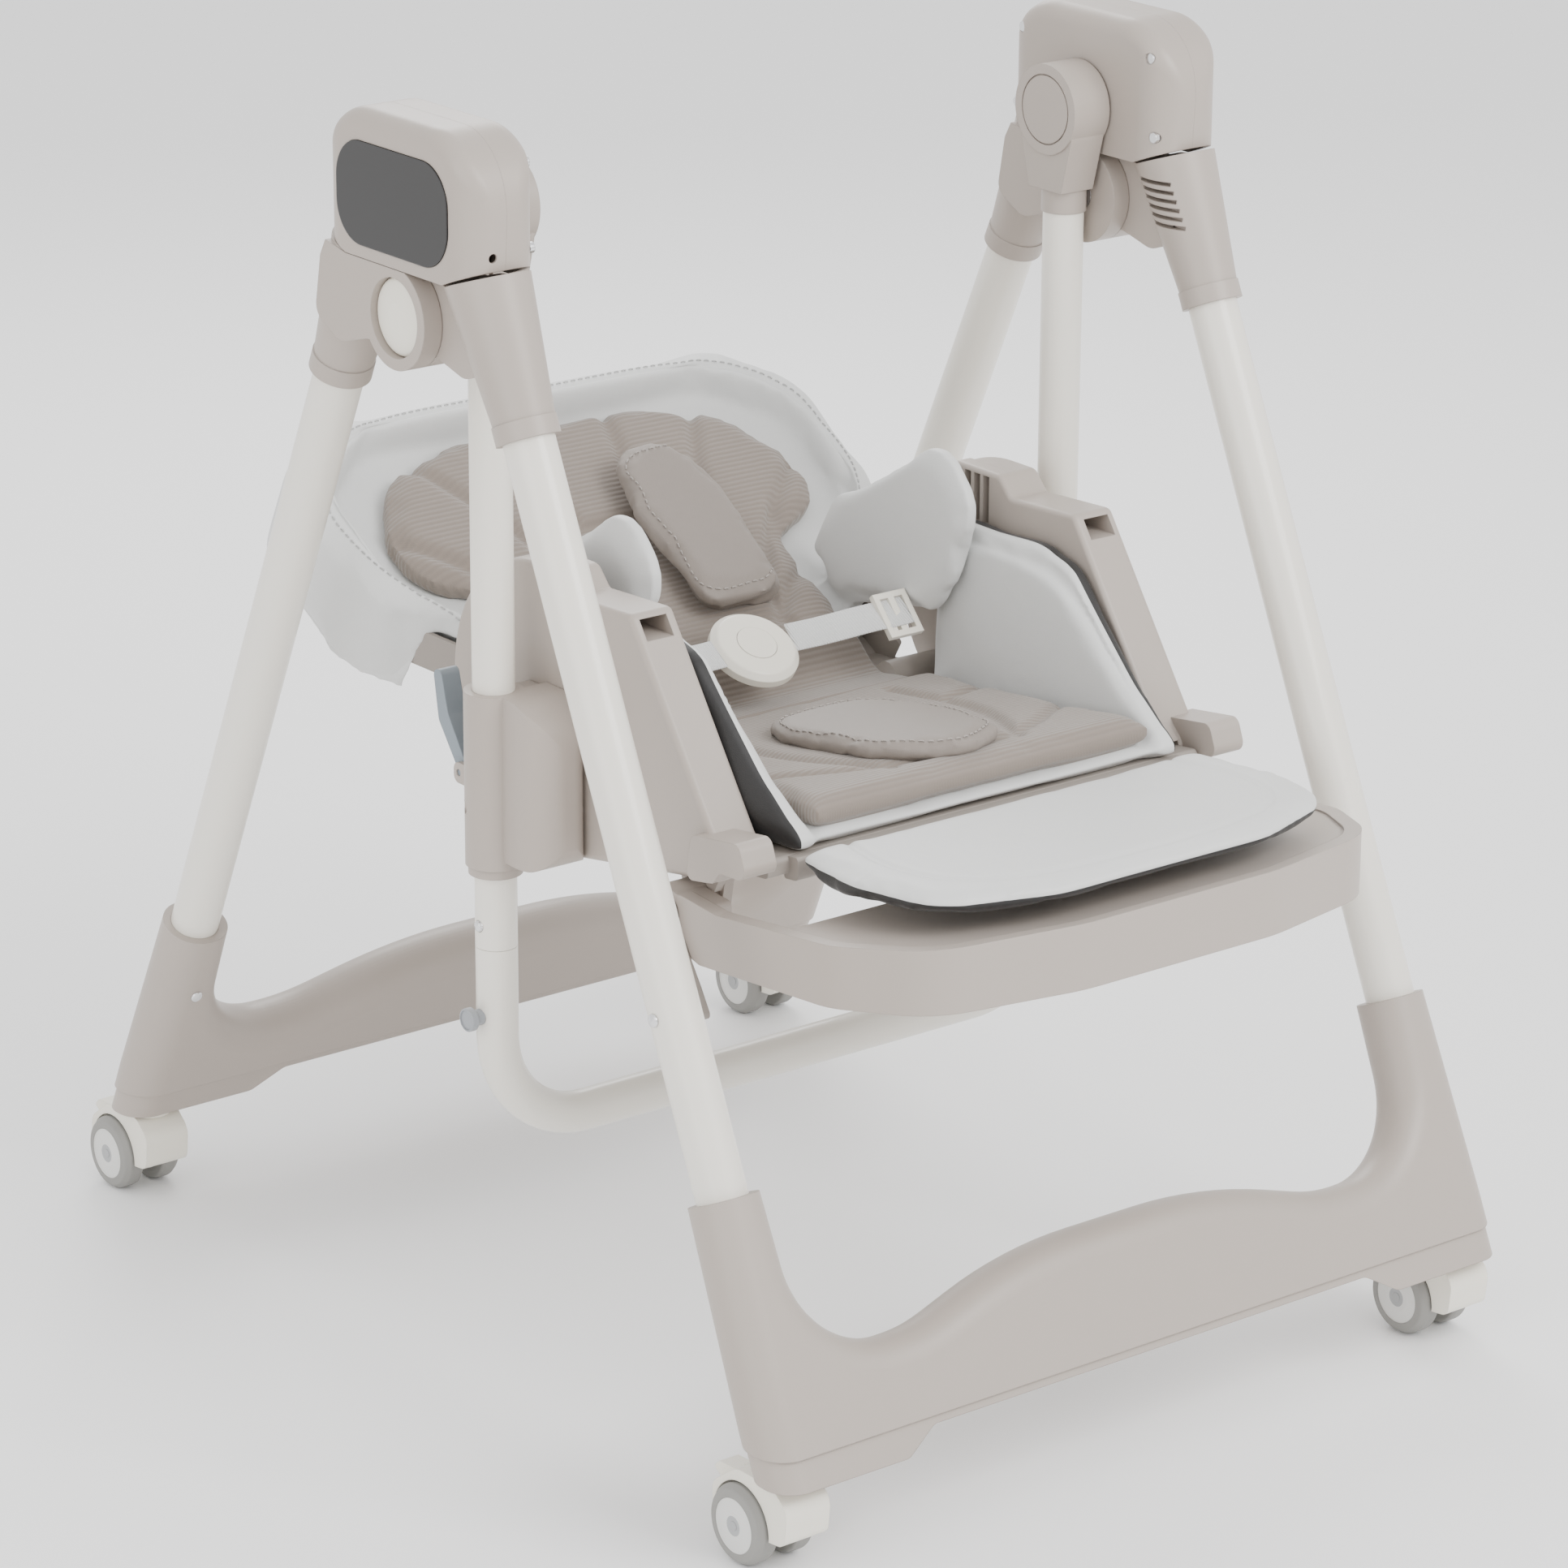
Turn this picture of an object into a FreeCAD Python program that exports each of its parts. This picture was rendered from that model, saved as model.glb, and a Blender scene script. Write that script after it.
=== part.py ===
import FreeCAD, Part
import math
import os
from FreeCAD import Placement, Rotation, Vector

# Baby high chair with a swinging seat. Millimetres, +Z up, the child looks towards -Y.
# The origin is the middle of the footprint on the floor.

os.makedirs("parts", exist_ok=True)
doc = FreeCAD.newDocument("high_chair")

SIZES = [
    ("leg_dia", 38.0, "outside of the leg tubes"),
    ("leg_wall", 1.6, "wall of the leg tubes"),
    ("leg_tilt", 24.3, "lean of each leg from upright, degrees"),
    ("leg_x", 320.0, "half the distance between the left and right legs"),
    ("foot_y", 343.4, "leg axis at the mouth of the foot socket, from the frame's middle"),
    ("foot_z", 255.7, "height of the foot socket's mouth"),
    ("foot_thick", 50.0, "thickness of the foot beams"),
    ("foot_split_z", 95.0, "height where the foot beam meets its base cover"),
    ("foot_base_z", 73.0, "underside of the foot base cover"),
    ("fold_z", 822.0, "height of the folding axis"),
    ("swing_z", 893.0, "height of the swing axis"),
    ("drum_r", 38.0, "radius of the folding drums"),
    ("head_thick", 66.0, "width of a head across X"),
    ("head_len", 188.0, "length of a head along Y"),
    ("head_top", 965.0, "height of the heads"),
    ("head_bottom", 858.0, "height of the head's lower rim"),
    ("shell_wall", 3.0, "wall of the moulded shells"),
    ("swing_x", 270.0, "half the distance between the swing tubes"),
    ("swing_dia", 31.8, "outside of the swing tubes"),
    ("swing_wall", 1.5, "wall of the swing tubes"),
    ("bar_z", 178.0, "height of the swing frame's cross bar"),
    ("bar_bend", 80.0, "bend radius of the swing frame's cross bar"),
    ("joint_z", 330.0, "height where the upper and lower swing tubes meet"),
    ("side_x", 229.0, "outer face of the seat's side panels"),
    ("arm_width", 39.0, "width of an armrest"),
    ("disc_r", 109.5, "radius of the round rear of a side panel"),
    ("disc_z", 509.0, "height of that round rear's centre"),
    ("arm_z", 606.0, "height of the armrests"),
    ("seat_slope", 6.4, "rise of the seat towards the front, degrees"),
    ("back_slope", 30.0, "lean of the reclined back above level, degrees"),
    ("back_y", 62.0, "recline axis, from the frame's middle"),
    ("back_z", 440.0, "height of the recline axis"),
    ("back_len", 345.0, "length of the back shell"),
    ("rest_y", -170.0, "leg rest axis, from the frame's middle"),
    ("rest_z", 401.0, "height of the leg rest axis"),
    ("caster_y", 419.0, "swivel axis of the casters, from the frame's middle"),
    ("wheel_r", 30.0, "radius of the caster wheels"),
    ("trail", 28.0, "distance of the wheel axle behind the swivel axis"),
    ("centre_y", -17.4, "shift that puts the footprint's middle at the origin"),
]

dims = doc.addObject("Spreadsheet::Sheet", "dims")
for row, (alias, value, note) in enumerate(SIZES, start=1):
    dims.set("A%d" % row, alias)
    dims.set("B%d" % row, "%g" % value)
    dims.set("C%d" % row, note)
    dims.setAlias("B%d" % row, alias)
doc.recompute()

D = {alias: float(dims.get(alias)) for alias, value, note in SIZES}
X = Vector(1, 0, 0)
Y = Vector(0, 1, 0)
Z = Vector(0, 0, 1)
SHIFT = Placement(Vector(0, D["centre_y"], 0), Rotation())
TILT = math.radians(D["leg_tilt"])
nodes = []


def bind(obj, prop, value):
    """Set a property to a number, or tie it to the sheet with an expression."""
    if isinstance(value, str):
        obj.setExpression(prop, value)
    else:
        setattr(obj, prop, value)


def name_for(kind):
    """A fresh internal name for a helper shape."""
    return "%s_%d" % (kind, len(doc.Objects))


def cylinder(radius, height, base, axis=Z):
    """A cylinder from base along axis."""
    obj = doc.addObject("Part::Cylinder", name_for("cyl"))
    bind(obj, "Radius", radius)
    bind(obj, "Height", height)
    obj.Placement = Placement(Vector(*base), Rotation(Z, Vector(*axis)))
    return obj


def cone(radius1, radius2, height, base, axis=Z):
    """A cone from base along axis."""
    obj = doc.addObject("Part::Cone", name_for("cone"))
    bind(obj, "Radius1", radius1)
    bind(obj, "Radius2", radius2)
    bind(obj, "Height", height)
    obj.Placement = Placement(Vector(*base), Rotation(Z, Vector(*axis)))
    return obj


def box(low, high):
    """A box between two opposite corners."""
    obj = doc.addObject("Part::Box", name_for("box"))
    obj.Length = high[0] - low[0]
    obj.Width = high[1] - low[1]
    obj.Height = high[2] - low[2]
    obj.Placement = Placement(Vector(*low), Rotation())
    return obj


def ball(radius, centre):
    """A sphere about centre."""
    obj = doc.addObject("Part::Sphere", name_for("ball"))
    bind(obj, "Radius", radius)
    obj.Placement = Placement(Vector(*centre), Rotation())
    return obj


def fuse(*shapes):
    """The union of several shapes."""
    obj = doc.addObject("Part::MultiFuse", name_for("fuse"))
    obj.Shapes = list(shapes)
    obj.Refine = True
    return obj


def cut(base, *tools):
    """Base with every tool taken away."""
    for tool in tools:
        obj = doc.addObject("Part::Cut", name_for("cut"))
        obj.Base = base
        obj.Tool = tool
        obj.Refine = True
        base = obj
    return base


def common(first, second):
    """What two shapes share."""
    obj = doc.addObject("Part::Common", name_for("common"))
    obj.Base = first
    obj.Tool = second
    return obj


def group(*shapes):
    """Several separate solids kept together as one sub-part."""
    obj = doc.addObject("Part::Compound", name_for("group"))
    obj.Links = list(shapes)
    return obj


def corner(points, i):
    """Corner i of a polygon: its place, the directions to its neighbours and its opening angle."""
    count = len(points)
    before = Vector(points[i - 1][0], points[i - 1][1], 0)
    here = Vector(points[i][0], points[i][1], 0)
    after = Vector(points[(i + 1) % count][0], points[(i + 1) % count][1], 0)
    to_before = (before - here).normalize()
    to_after = (after - here).normalize()
    return here, to_before, to_after, to_before.getAngle(to_after)


def outline(points):
    """Lines and arcs around a polygon whose corners (a, b, r) are rounded with radius r.

    A radius shrinks where a side is too short to hold the arcs at both of its ends.
    """
    count = len(points)
    corners = [corner(points, i) for i in range(count)]
    slopes = [1 / math.tan(max(c[3], 0.02) / 2) for c in corners]
    straight = [abs(c[3] - math.pi) < 1e-4 for c in corners]
    radii = [0.0 if straight[i] else float(points[i][2]) for i in range(count)]
    for _ in range(6):
        for i in range(count):
            j = (i + 1) % count
            room = (corners[j][0] - corners[i][0]).Length * 0.995
            need = radii[i] * slopes[i] + radii[j] * slopes[j]
            if need > room:
                radii[i] *= room / need
                radii[j] *= room / need
    entries = []
    for i in range(count):
        here, to_before, to_after, angle = corners[i]
        if radii[i] < 0.01:
            entries.append((here, here, None))
            continue
        reach = radii[i] * slopes[i]
        start = here + to_before * reach
        end = here + to_after * reach
        inward = (to_before + to_after).normalize()
        centre = here + inward * (radii[i] / math.sin(angle / 2))
        entries.append((start, end, Part.Arc(start, centre - inward * radii[i], end)))
    geometry = []
    for i in range(count):
        leave = entries[i - 1][1]
        arrive = entries[i][0]
        if (arrive - leave).Length > 1e-6:
            geometry.append(Part.LineSegment(leave, arrive))
        if entries[i][2] is not None:
            geometry.append(entries[i][2])
    return geometry


def body_with_sketch(plane, points, offset=0.0):
    """A PartDesign body holding one sketch of a rounded polygon."""
    body = doc.addObject("PartDesign::Body", name_for("body"))
    sketch = body.newObject("Sketcher::SketchObject", name_for("sketch"))
    support = [f for f in body.Origin.OriginFeatures if f.Role == plane][0]
    sketch.AttachmentSupport = (support, [""])
    sketch.MapMode = "FlatFace"
    sketch.AttachmentOffset = Placement(Vector(0, 0, offset), Rotation())
    sketch.addGeometry(outline(points), False)
    return body, sketch


def pad(plane, points, length, offset=0.0):
    """A rounded polygon padded from offset along the plane's normal."""
    body, sketch = body_with_sketch(plane, points, offset)
    feature = body.newObject("PartDesign::Pad", name_for("pad"))
    feature.Profile = sketch
    bind(feature, "Length", length)
    sketch.Visibility = False
    body.Tip = feature
    return body


def slab_x(points, x_low, x_high):
    """A (y, z) outline carried from x_low to x_high."""
    return pad("YZ_Plane", points, x_high - x_low, x_low)


def slab_y(points, y_low, y_high):
    """An (x, z) outline carried from y_low to y_high."""
    return pad("XZ_Plane", points, y_high - y_low, -y_high)


def slab_z(points, z_low, z_high):
    """An (x, y) outline carried from z_low to z_high."""
    return pad("XY_Plane", points, z_high - z_low, z_low)


def turned(points, base, axis):
    """A half profile (r, h) spun a full turn about the body's Z axis, then set at base along axis."""
    body, sketch = body_with_sketch("XZ_Plane", points)
    feature = body.newObject("PartDesign::Revolution", name_for("turn"))
    feature.Profile = sketch
    feature.ReferenceAxis = (sketch, ["V_Axis"])
    feature.Angle = 360.0
    sketch.Visibility = False
    body.Tip = feature
    body.Placement = Placement(Vector(*base), Rotation(Z, Vector(*axis)))
    return body


def rounded_edges(source, keep, radii):
    """Round the edges that keep() accepts, with the largest of radii that works."""
    doc.recompute()
    picks = [i for i, edge in enumerate(source.Shape.Edges, start=1) if keep(edge)]
    for radius in radii:
        obj = doc.addObject("Part::Fillet", name_for("fillet"))
        obj.Base = source
        obj.Edges = [(i, radius, radius) for i in picks]
        doc.recompute()
        made = not obj.Shape.isNull() and "Invalid" not in obj.State
        if made and obj.Shape.isValid() and obj.Shape.Volume > 0.5 * source.Shape.Volume:
            return obj
        doc.removeObject(obj.Name)
    print("left sharp:", source.Name)
    return source


def node(name, obj):
    """Name a finished sub-part and move it into the part's own frame."""
    obj.Label = name
    obj.Placement = SHIFT.multiply(obj.Placement)
    nodes.append((name, obj))
    return obj


def mirror_node(name, source):
    """The left hand twin of a finished right hand sub-part."""
    obj = doc.addObject("Part::Mirroring", name_for("mirror"))
    obj.Source = source
    obj.Normal = X
    obj.Label = name
    nodes.append((name, obj))
    return obj


def both(make):
    """Left (-1) and right (+1) copies of a shape."""
    return [make(-1), make(1)]


def span(side, a, b):
    """The X limits of something that reaches from a to b on one side."""
    return (min(side * a, side * b), max(side * a, side * b))


# ---------------------------------------------------------------- feet and legs
# A leg and its foot are drawn upright in (x, s), s running down the leg from the socket's mouth.

def leg_frame(front):
    """Placement that leans the upright drawing onto the front (+1) or rear (-1) pair of legs."""
    lean = -D["leg_tilt"] if front > 0 else D["leg_tilt"]
    return Placement(Vector(0, -front * D["foot_y"], D["foot_z"]), Rotation(X, lean))


def leg_point(front, side, s, off=0.0):
    """A point on a leg's axis, s down the leg and off outwards from the pair's plane."""
    return Vector(side * D["leg_x"],
                  -front * (D["foot_y"] + s * math.sin(TILT) + off * math.cos(TILT)),
                  D["foot_z"] - s * math.cos(TILT) + off * math.sin(TILT))


def leg_axis(front):
    """Direction down a leg."""
    return Vector(0, -front * math.sin(TILT), -math.cos(TILT))


def foot_outline(inset):
    """Half wave shaped beam between two sockets, as (x, -s) corners with radii."""
    right = [(343.5 - inset, 40, 0), (349.5 - inset, -160, 300), (350.0 - inset, -260, 0)]
    top = [(295.0 + inset, 40, 0), (290.5 + inset, -122.5 - inset, 70),
           (197.0, -123.5 - inset, 150), (92.0, -92.0 - inset, 400)]
    points = [(x, z, r) for x, z, r in reversed(right)] + top
    points += [(-x, z, r) for x, z, r in reversed(top)] + [(-x, z, r) for x, z, r in right]
    return points


def foot_slab(front, inset):
    """The leaning, fully rounded slab that a foot beam is cut from."""
    thick = D["foot_thick"] - 2 * inset
    body = slab_y(foot_outline(inset), -thick / 2, thick / 2)

    def on_rim(edge):
        centre = edge.BoundBox.Center
        flat = edge.BoundBox.YLength < 0.01
        ends = edge.BoundBox.ZLength < 0.01 and (centre.z > 30 or centre.z < -250)
        return flat and not ends
    slab = rounded_edges(body, on_rim, [thick / 2 - 1.5, thick / 2 - 5, 15, 10, 5])
    slab.Placement = leg_frame(front)
    return slab


def foot_beam(front):
    """Moulded beam with a socket for each leg."""
    mouth = leg_frame(front)
    above = box((-400, -300, 0.0), (400, 300, 200))
    above.Placement = mouth.multiply(above.Placement)
    below = box((-500, -600, -100), (500, 600, D["foot_split_z"] + 0.15))
    beam = cut(foot_slab(front, 0.0), above, below)
    for side in (-1, 1):
        bore = cylinder("dims.leg_dia / 2 + 0.1", 115.0, (0, 0, 0), leg_axis(front))
        bore.Placement.Base = leg_point(front, side, -5.0)
        beam = cut(beam, bore)
        stem = cylinder(6.08, 60.0, (side * D["leg_x"], -front * D["caster_y"], 50.0))
        beam = cut(beam, stem)
        if front < 0:
            beam = cut(beam, screw_hole(front, side))
    return beam


def foot_base(front):
    """Base cover under a foot beam: deep under the sockets, shallow between them."""
    low = D["foot_base_z"]
    top = D["foot_split_z"]
    lane = slab_y([(-360, low, 0), (-236, low, 12), (-208, low + 16, 12), (208, low + 16, 12),
                   (236, low, 12), (360, low, 0), (360, top, 0), (-360, top, 0)], -600, 600)
    cover = common(foot_slab(front, 2.2), lane)
    for side in (-1, 1):
        stem = cylinder(6.08, 60.0, (side * D["leg_x"], -front * D["caster_y"], low - 10))
        cover = cut(cover, stem)
    return cover


def screw_seat(front, side):
    """Where a leg's screw sits, and the way its head points: on the tube in front, in the foot behind."""
    if front > 0:
        out = Vector(side, 0, 0)
        return leg_point(front, side, -133.0) + out * (D["leg_dia"] / 2 - 0.3), out
    out = Vector(0, -math.cos(TILT), -math.sin(TILT))
    return leg_point(front, side, 58.0) + out * (D["foot_thick"] / 2 + 0.02), out


def screw_hole(front, side):
    """Hole for a leg's screw."""
    seat, out = screw_seat(front, side)
    return cylinder(2.6, 30.0 if front < 0 else 6.0, seat + out * 1.0, out * -1)


def leg_tube(front, side):
    """Leg tube from deep in the foot socket to inside the hub socket."""
    start = leg_point(front, side, 105.0)
    up = leg_axis(front) * -1
    outer = cylinder("dims.leg_dia / 2", 105.0 + 546.7 + 62.0, start, up)
    inner = cylinder("dims.leg_dia / 2 - dims.leg_wall", 720.0, start - up * 2, up)
    return cut(outer, inner, screw_hole(front, side))


def dome_screw(base, axis, shank, head_r=5.2):
    """A domed screw whose head sits on base, its shank running back against axis."""
    return turned([(0, -shank, 0), (2.4, -shank, 0), (2.4, 0, 0), (head_r, 0, 0),
                   (head_r * 0.92, 1.6, 1.2), (0, 2.8, 0)], base, axis)


def leg_screws(front):
    """The domed screws of a pair of legs."""
    screws = []
    for side in (-1, 1):
        seat, out = screw_seat(front, side)
        screws.append(dome_screw(seat + out * (0.35 if front > 0 else 0.0), out,
                                 1.2 if front > 0 else 10.0))
    return group(*screws)


# ---------------------------------------------------------------- folding hubs and heads
def hub_socket(front, side):
    """Flared socket that takes the top of a leg, before it is trimmed under the head."""
    up = leg_axis(front) * -1
    ring = cylinder(23.6, 14.0, leg_point(front, side, -546.7), up)
    flare = cone(22.6, 31.5, 108.0, leg_point(front, side, -560.0), up)
    return fuse(ring, flare)


def leg_bore(front, side):
    """Room for the leg tube inside a hub socket."""
    up = leg_axis(front) * -1
    return cylinder("dims.leg_dia / 2 + 0.1", 68.0, leg_point(front, side, -542.7), up)


def head_outline(inset, low):
    """Side view of a head as (y, z) corners with radii."""
    half = D["head_len"] / 2 - inset
    top = D["head_top"] - inset
    flat = D["head_bottom"]
    points = [(-60, low, 0), (60, low, 0)]
    if low == flat:
        points += [(half - 3, flat + 12, 0)]
    else:
        points += [(half - 3, low, 0)]
    points += [(half, top - 52, 80), (half - 10, top, 52 - inset)]
    mirrored = [(-y, z, r) for y, z, r in reversed(points[2:])]
    return points + mirrored


def head_block(side, inset, low):
    """The pillow shaped volume of a head, inset by the wall where wanted."""
    half_x = D["head_thick"] / 2 - 3.0 * inset
    half_y = D["head_len"] / 2 - inset
    centre = side * D["leg_x"] - side * 1.0
    plan = slab_z([(centre - half_x, -half_y, 29 - inset), (centre + half_x, -half_y, 29 - inset),
                   (centre + half_x, half_y, 29 - inset), (centre - half_x, half_y, 29 - inset)],
                  low - 2, D["head_top"] + 5)
    view = slab_x(head_outline(inset, low), centre - 60, centre + 60)
    block = common(plan, view)
    if inset == 0:
        def top_rim(edge):
            box_ = edge.BoundBox
            side_face = box_.XLength < 0.01 and abs(box_.Center.x - centre) > half_x - 1
            return side_face and box_.Center.z > D["head_top"] - 60
        block = rounded_edges(block, top_rim, [14.0, 10.0, 6.0, 3.0])
    return block


def head_shell(side, outer):
    """Inner or outer half of a head's hollow shell, split down the middle."""
    middle = side * (D["leg_x"] - 1.0)
    whole = cut(head_block(side, 0.0, D["head_bottom"]),
                head_block(side, D["shell_wall"], D["head_bottom"] - 20))
    far = side * 500.0
    lows = sorted((middle, far))
    if outer:
        half = common(whole, box((lows[0], -200, 800), (lows[1], 200, 1000)))
        if side < 0:
            face = middle - D["head_thick"] / 2
            seat = slab_x([(-69, 867, 30), (69, 867, 30), (69, 943, 30), (-69, 943, 30)],
                          face - 5, face + 1.2)
            half = cut(half, seat)
        slot = cylinder(3.4, 30.0, (side * 330.0, -80, 880), (0, -1, 0))
        return cut(half, slot) if side < 0 else half
    near = sorted((middle, 0.0))
    half = common(whole, box((near[0], -200, 800), (near[1], 200, 1000)))
    shaft = cylinder(20.5, 60.0, (side * 270.0, 0, D["swing_z"]), (side, 0, 0))
    half = cut(half, shaft)
    inner_face = side * (D["leg_x"] - 1.0 - D["head_thick"] / 2)
    for y in (-80, 80):
        for z in (880, 940):
            y_in = y * (1.0 if z < 900 else 0.93)
            recess = cylinder(4.2, 9.0, (inner_face - side * 1.0, y_in, z), (side, 0, 0))
            half = cut(half, recess)
    return half


def head_screws(side):
    """Screws sunk in a head's inner face."""
    inner_face = side * (D["leg_x"] - 1.0 - D["head_thick"] / 2)
    screws = []
    for y in (-80, 80):
        for z in (880, 940):
            y_in = y * (1.0 if z < 900 else 0.93)
            screws.append(cylinder(4.1, 4.0, (inner_face + side * 2.5, y_in, z), (side, 0, 0)))
    return screws


FRONT_HALF = (304.0, 336.0)


def rear_hub(side):
    """Fixed hub: two drum cheeks, the rear leg's socket and the block that carries the swing axle."""
    low, high = span(side, 288.0, 352.0)
    top = D["head_bottom"] - 0.6
    z = D["fold_z"]
    drum = cylinder("dims.drum_r", "dims.head_thick - 2", (low, 0, z), (1, 0, 0))
    web = slab_x([(-10, z + 30, 6), (-12, top, 0), (60, top, 0), (86, top + 5, 0), (93, 850, 8),
                  (101, 806, 12), (70, 790, 20), (34, 800, 20), (0, 800, 0)], low, high)
    carriage = slab_x([(-40, top - 2, 0), (52, top - 2, 0), (52, 906, 10), (-40, 906, 10)],
                      *span(side, 296.5, 341.5))
    trim = slab_x([(-60, top, 0), (60, top, 0), (96, top + 11.4, 0), (96, 1000, 0), (-96, 1000, 0),
                   (-96, top + 11.4, 0)], *span(side, 250.0, 390.0))
    lower = cut(fuse(drum, web, hub_socket(-1, side)), trim)
    hub = fuse(lower, carriage)
    middle = span(side, FRONT_HALF[0] - 0.5, FRONT_HALF[1] + 0.5)
    slot = cylinder("dims.drum_r + 0.6", middle[1] - middle[0], (middle[0], 0, z), (1, 0, 0))
    sweep = slab_x([(0, z, 0), (20, z + 60, 0), (-80, z + 60, 0), (-80, z - 60, 0), (26, z - 60, 0)],
                   *middle)
    front_room = common(sweep, slab_x([(-80, z - 60, 0), (26, z - 60, 0), (26, top + 0.5, 0),
                                       (-80, top + 0.5, 0)], *middle))
    hub = cut(hub, slot, front_room, leg_bore(-1, side))
    bearing = cylinder(12.56, 100.0, (side * 270.0, 0, D["swing_z"]), (side, 0, 0))
    pivot = cylinder(8.0, 54.4, (side * 284.0, 0, z), (side, 0, 0))
    recess = cylinder(29.2, 30.0, (side * 338.5, 0, z), (side, 0, 0))
    head_room = cylinder(11.2, 20.0, (side * 271.0, 0, z), (side, 0, 0))
    return cut(hub, bearing, pivot, recess, head_room)


def front_hub(side):
    """Folding hub: the disc between the drum cheeks and the front leg's socket."""
    middle = span(side, *FRONT_HALF)
    z = D["fold_z"]
    top = D["head_bottom"] - 1.6
    disc = cylinder("dims.drum_r", middle[1] - middle[0], (middle[0], 0, z), (1, 0, 0))
    web = slab_x([(-6, z + 33, 0), (-20, top - 1, 4), (-80, top - 1, 0), (-92, 812, 10),
                  (-96, 800, 8), (-64, 788, 20), (-30, 797, 10), (0, z - 36, 0)], *middle)
    trim = slab_x([(-60, top, 0), (60, top, 0), (60, 1000, 0), (-130, 1000, 0), (-130, top + 24, 0)],
                  *span(side, 250.0, 390.0))
    keep_out = cylinder("dims.drum_r + 3", 100.0, (side * 270.0, 0, z), (side, 0, 0))
    socket = cut(hub_socket(1, side), trim, keep_out)
    hub = cut(fuse(disc, cut(web, trim), socket), leg_bore(1, side))
    pivot = cylinder(8.0, 60.0, (side * 290.0, 0, z), (side, 0, 0))
    hub = cut(hub, pivot)
    low, high = span(side, 284.0, 301.0)
    for i in range(6):
        spot = leg_point(1, side, -612.0 - 7.0 * i)
        slit = box((low, spot.y - 17, spot.z - 1.6), (high, spot.y + 15, spot.z + 1.6))
        slit.Placement.Rotation = Rotation(X, 0)
        hub = cut(hub, slit)
    return hub


def fold_pin(side):
    """Steel pin of the folding joint."""
    return turned([(0, 0, 0), (11.0, 0, 0), (11.0, 2.6, 1.0), (7.95, 2.6, 0), (7.95, 50.0, 0),
                   (0, 50.0, 0)], (side * 288.2, 0, D["fold_z"]), (side, 0, 0))


def fold_button(side):
    """Round push button in the outer end of a drum."""
    return turned([(0, 0, 0), (26.0, 0, 0), (28.8, 0, 0), (28.8, 5.0, 3.5), (10.0, 7.5, 0),
                   (0, 7.5, 0)], (side * 342.4, 0, D["fold_z"]), (side, 0, 0))


# ---------------------------------------------------------------- swinging frame
def swing_hub(side):
    """Hanger: a round head on its axle, with a collar below for the swing tube."""
    low, high = span(side, 249.0, 284.2)
    z = D["swing_z"]
    x = side * D["swing_x"]
    head = slab_x([(-35, z - 35, 34.8), (-35, z + 35, 34.8), (35, z + 35, 34.8), (35, z - 35, 34.8)],
                  low, high)
    neck = slab_x([(-19, 830, 0), (19, 830, 0), (30, z - 20, 18), (30, z, 0), (-30, z, 0),
                   (-30, z - 20, 18)], low + 1.5, high - 1.5)
    collar = cylinder(17.5, 40.0, (x, 0, 812.0))
    groove = cut(cylinder(27.4, 3.0, (side * 248.0, 0, z), (side, 0, 0)),
                 cylinder(26.2, 4.0, (side * 247.5, 0, z), (side, 0, 0)))
    journal = cylinder(12.5, 56.0, (side * 283.0, 0, z), (side, 0, 0))
    bore = cylinder("dims.swing_dia / 2 + 0.1", 42.0, (x, 0, 806.0))
    return cut(fuse(cut(fuse(head, neck, collar), groove), journal), bore)


def swing_tube(side):
    """Upper swing tube, from the joint into the hanger's collar."""
    x = side * D["swing_x"]
    outer = cylinder("dims.swing_dia / 2", "847 - dims.joint_z", (x, 0, D["joint_z"] + 0.3))
    inner = cylinder("dims.swing_dia / 2 - dims.swing_wall", 600.0, (x, 0, D["joint_z"] - 10))
    hole = cylinder(4.7, 20.0, (x + side * 5, 0, D["joint_z"] + 18), (side, 0, 0))
    return cut(outer, inner, hole)


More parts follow.
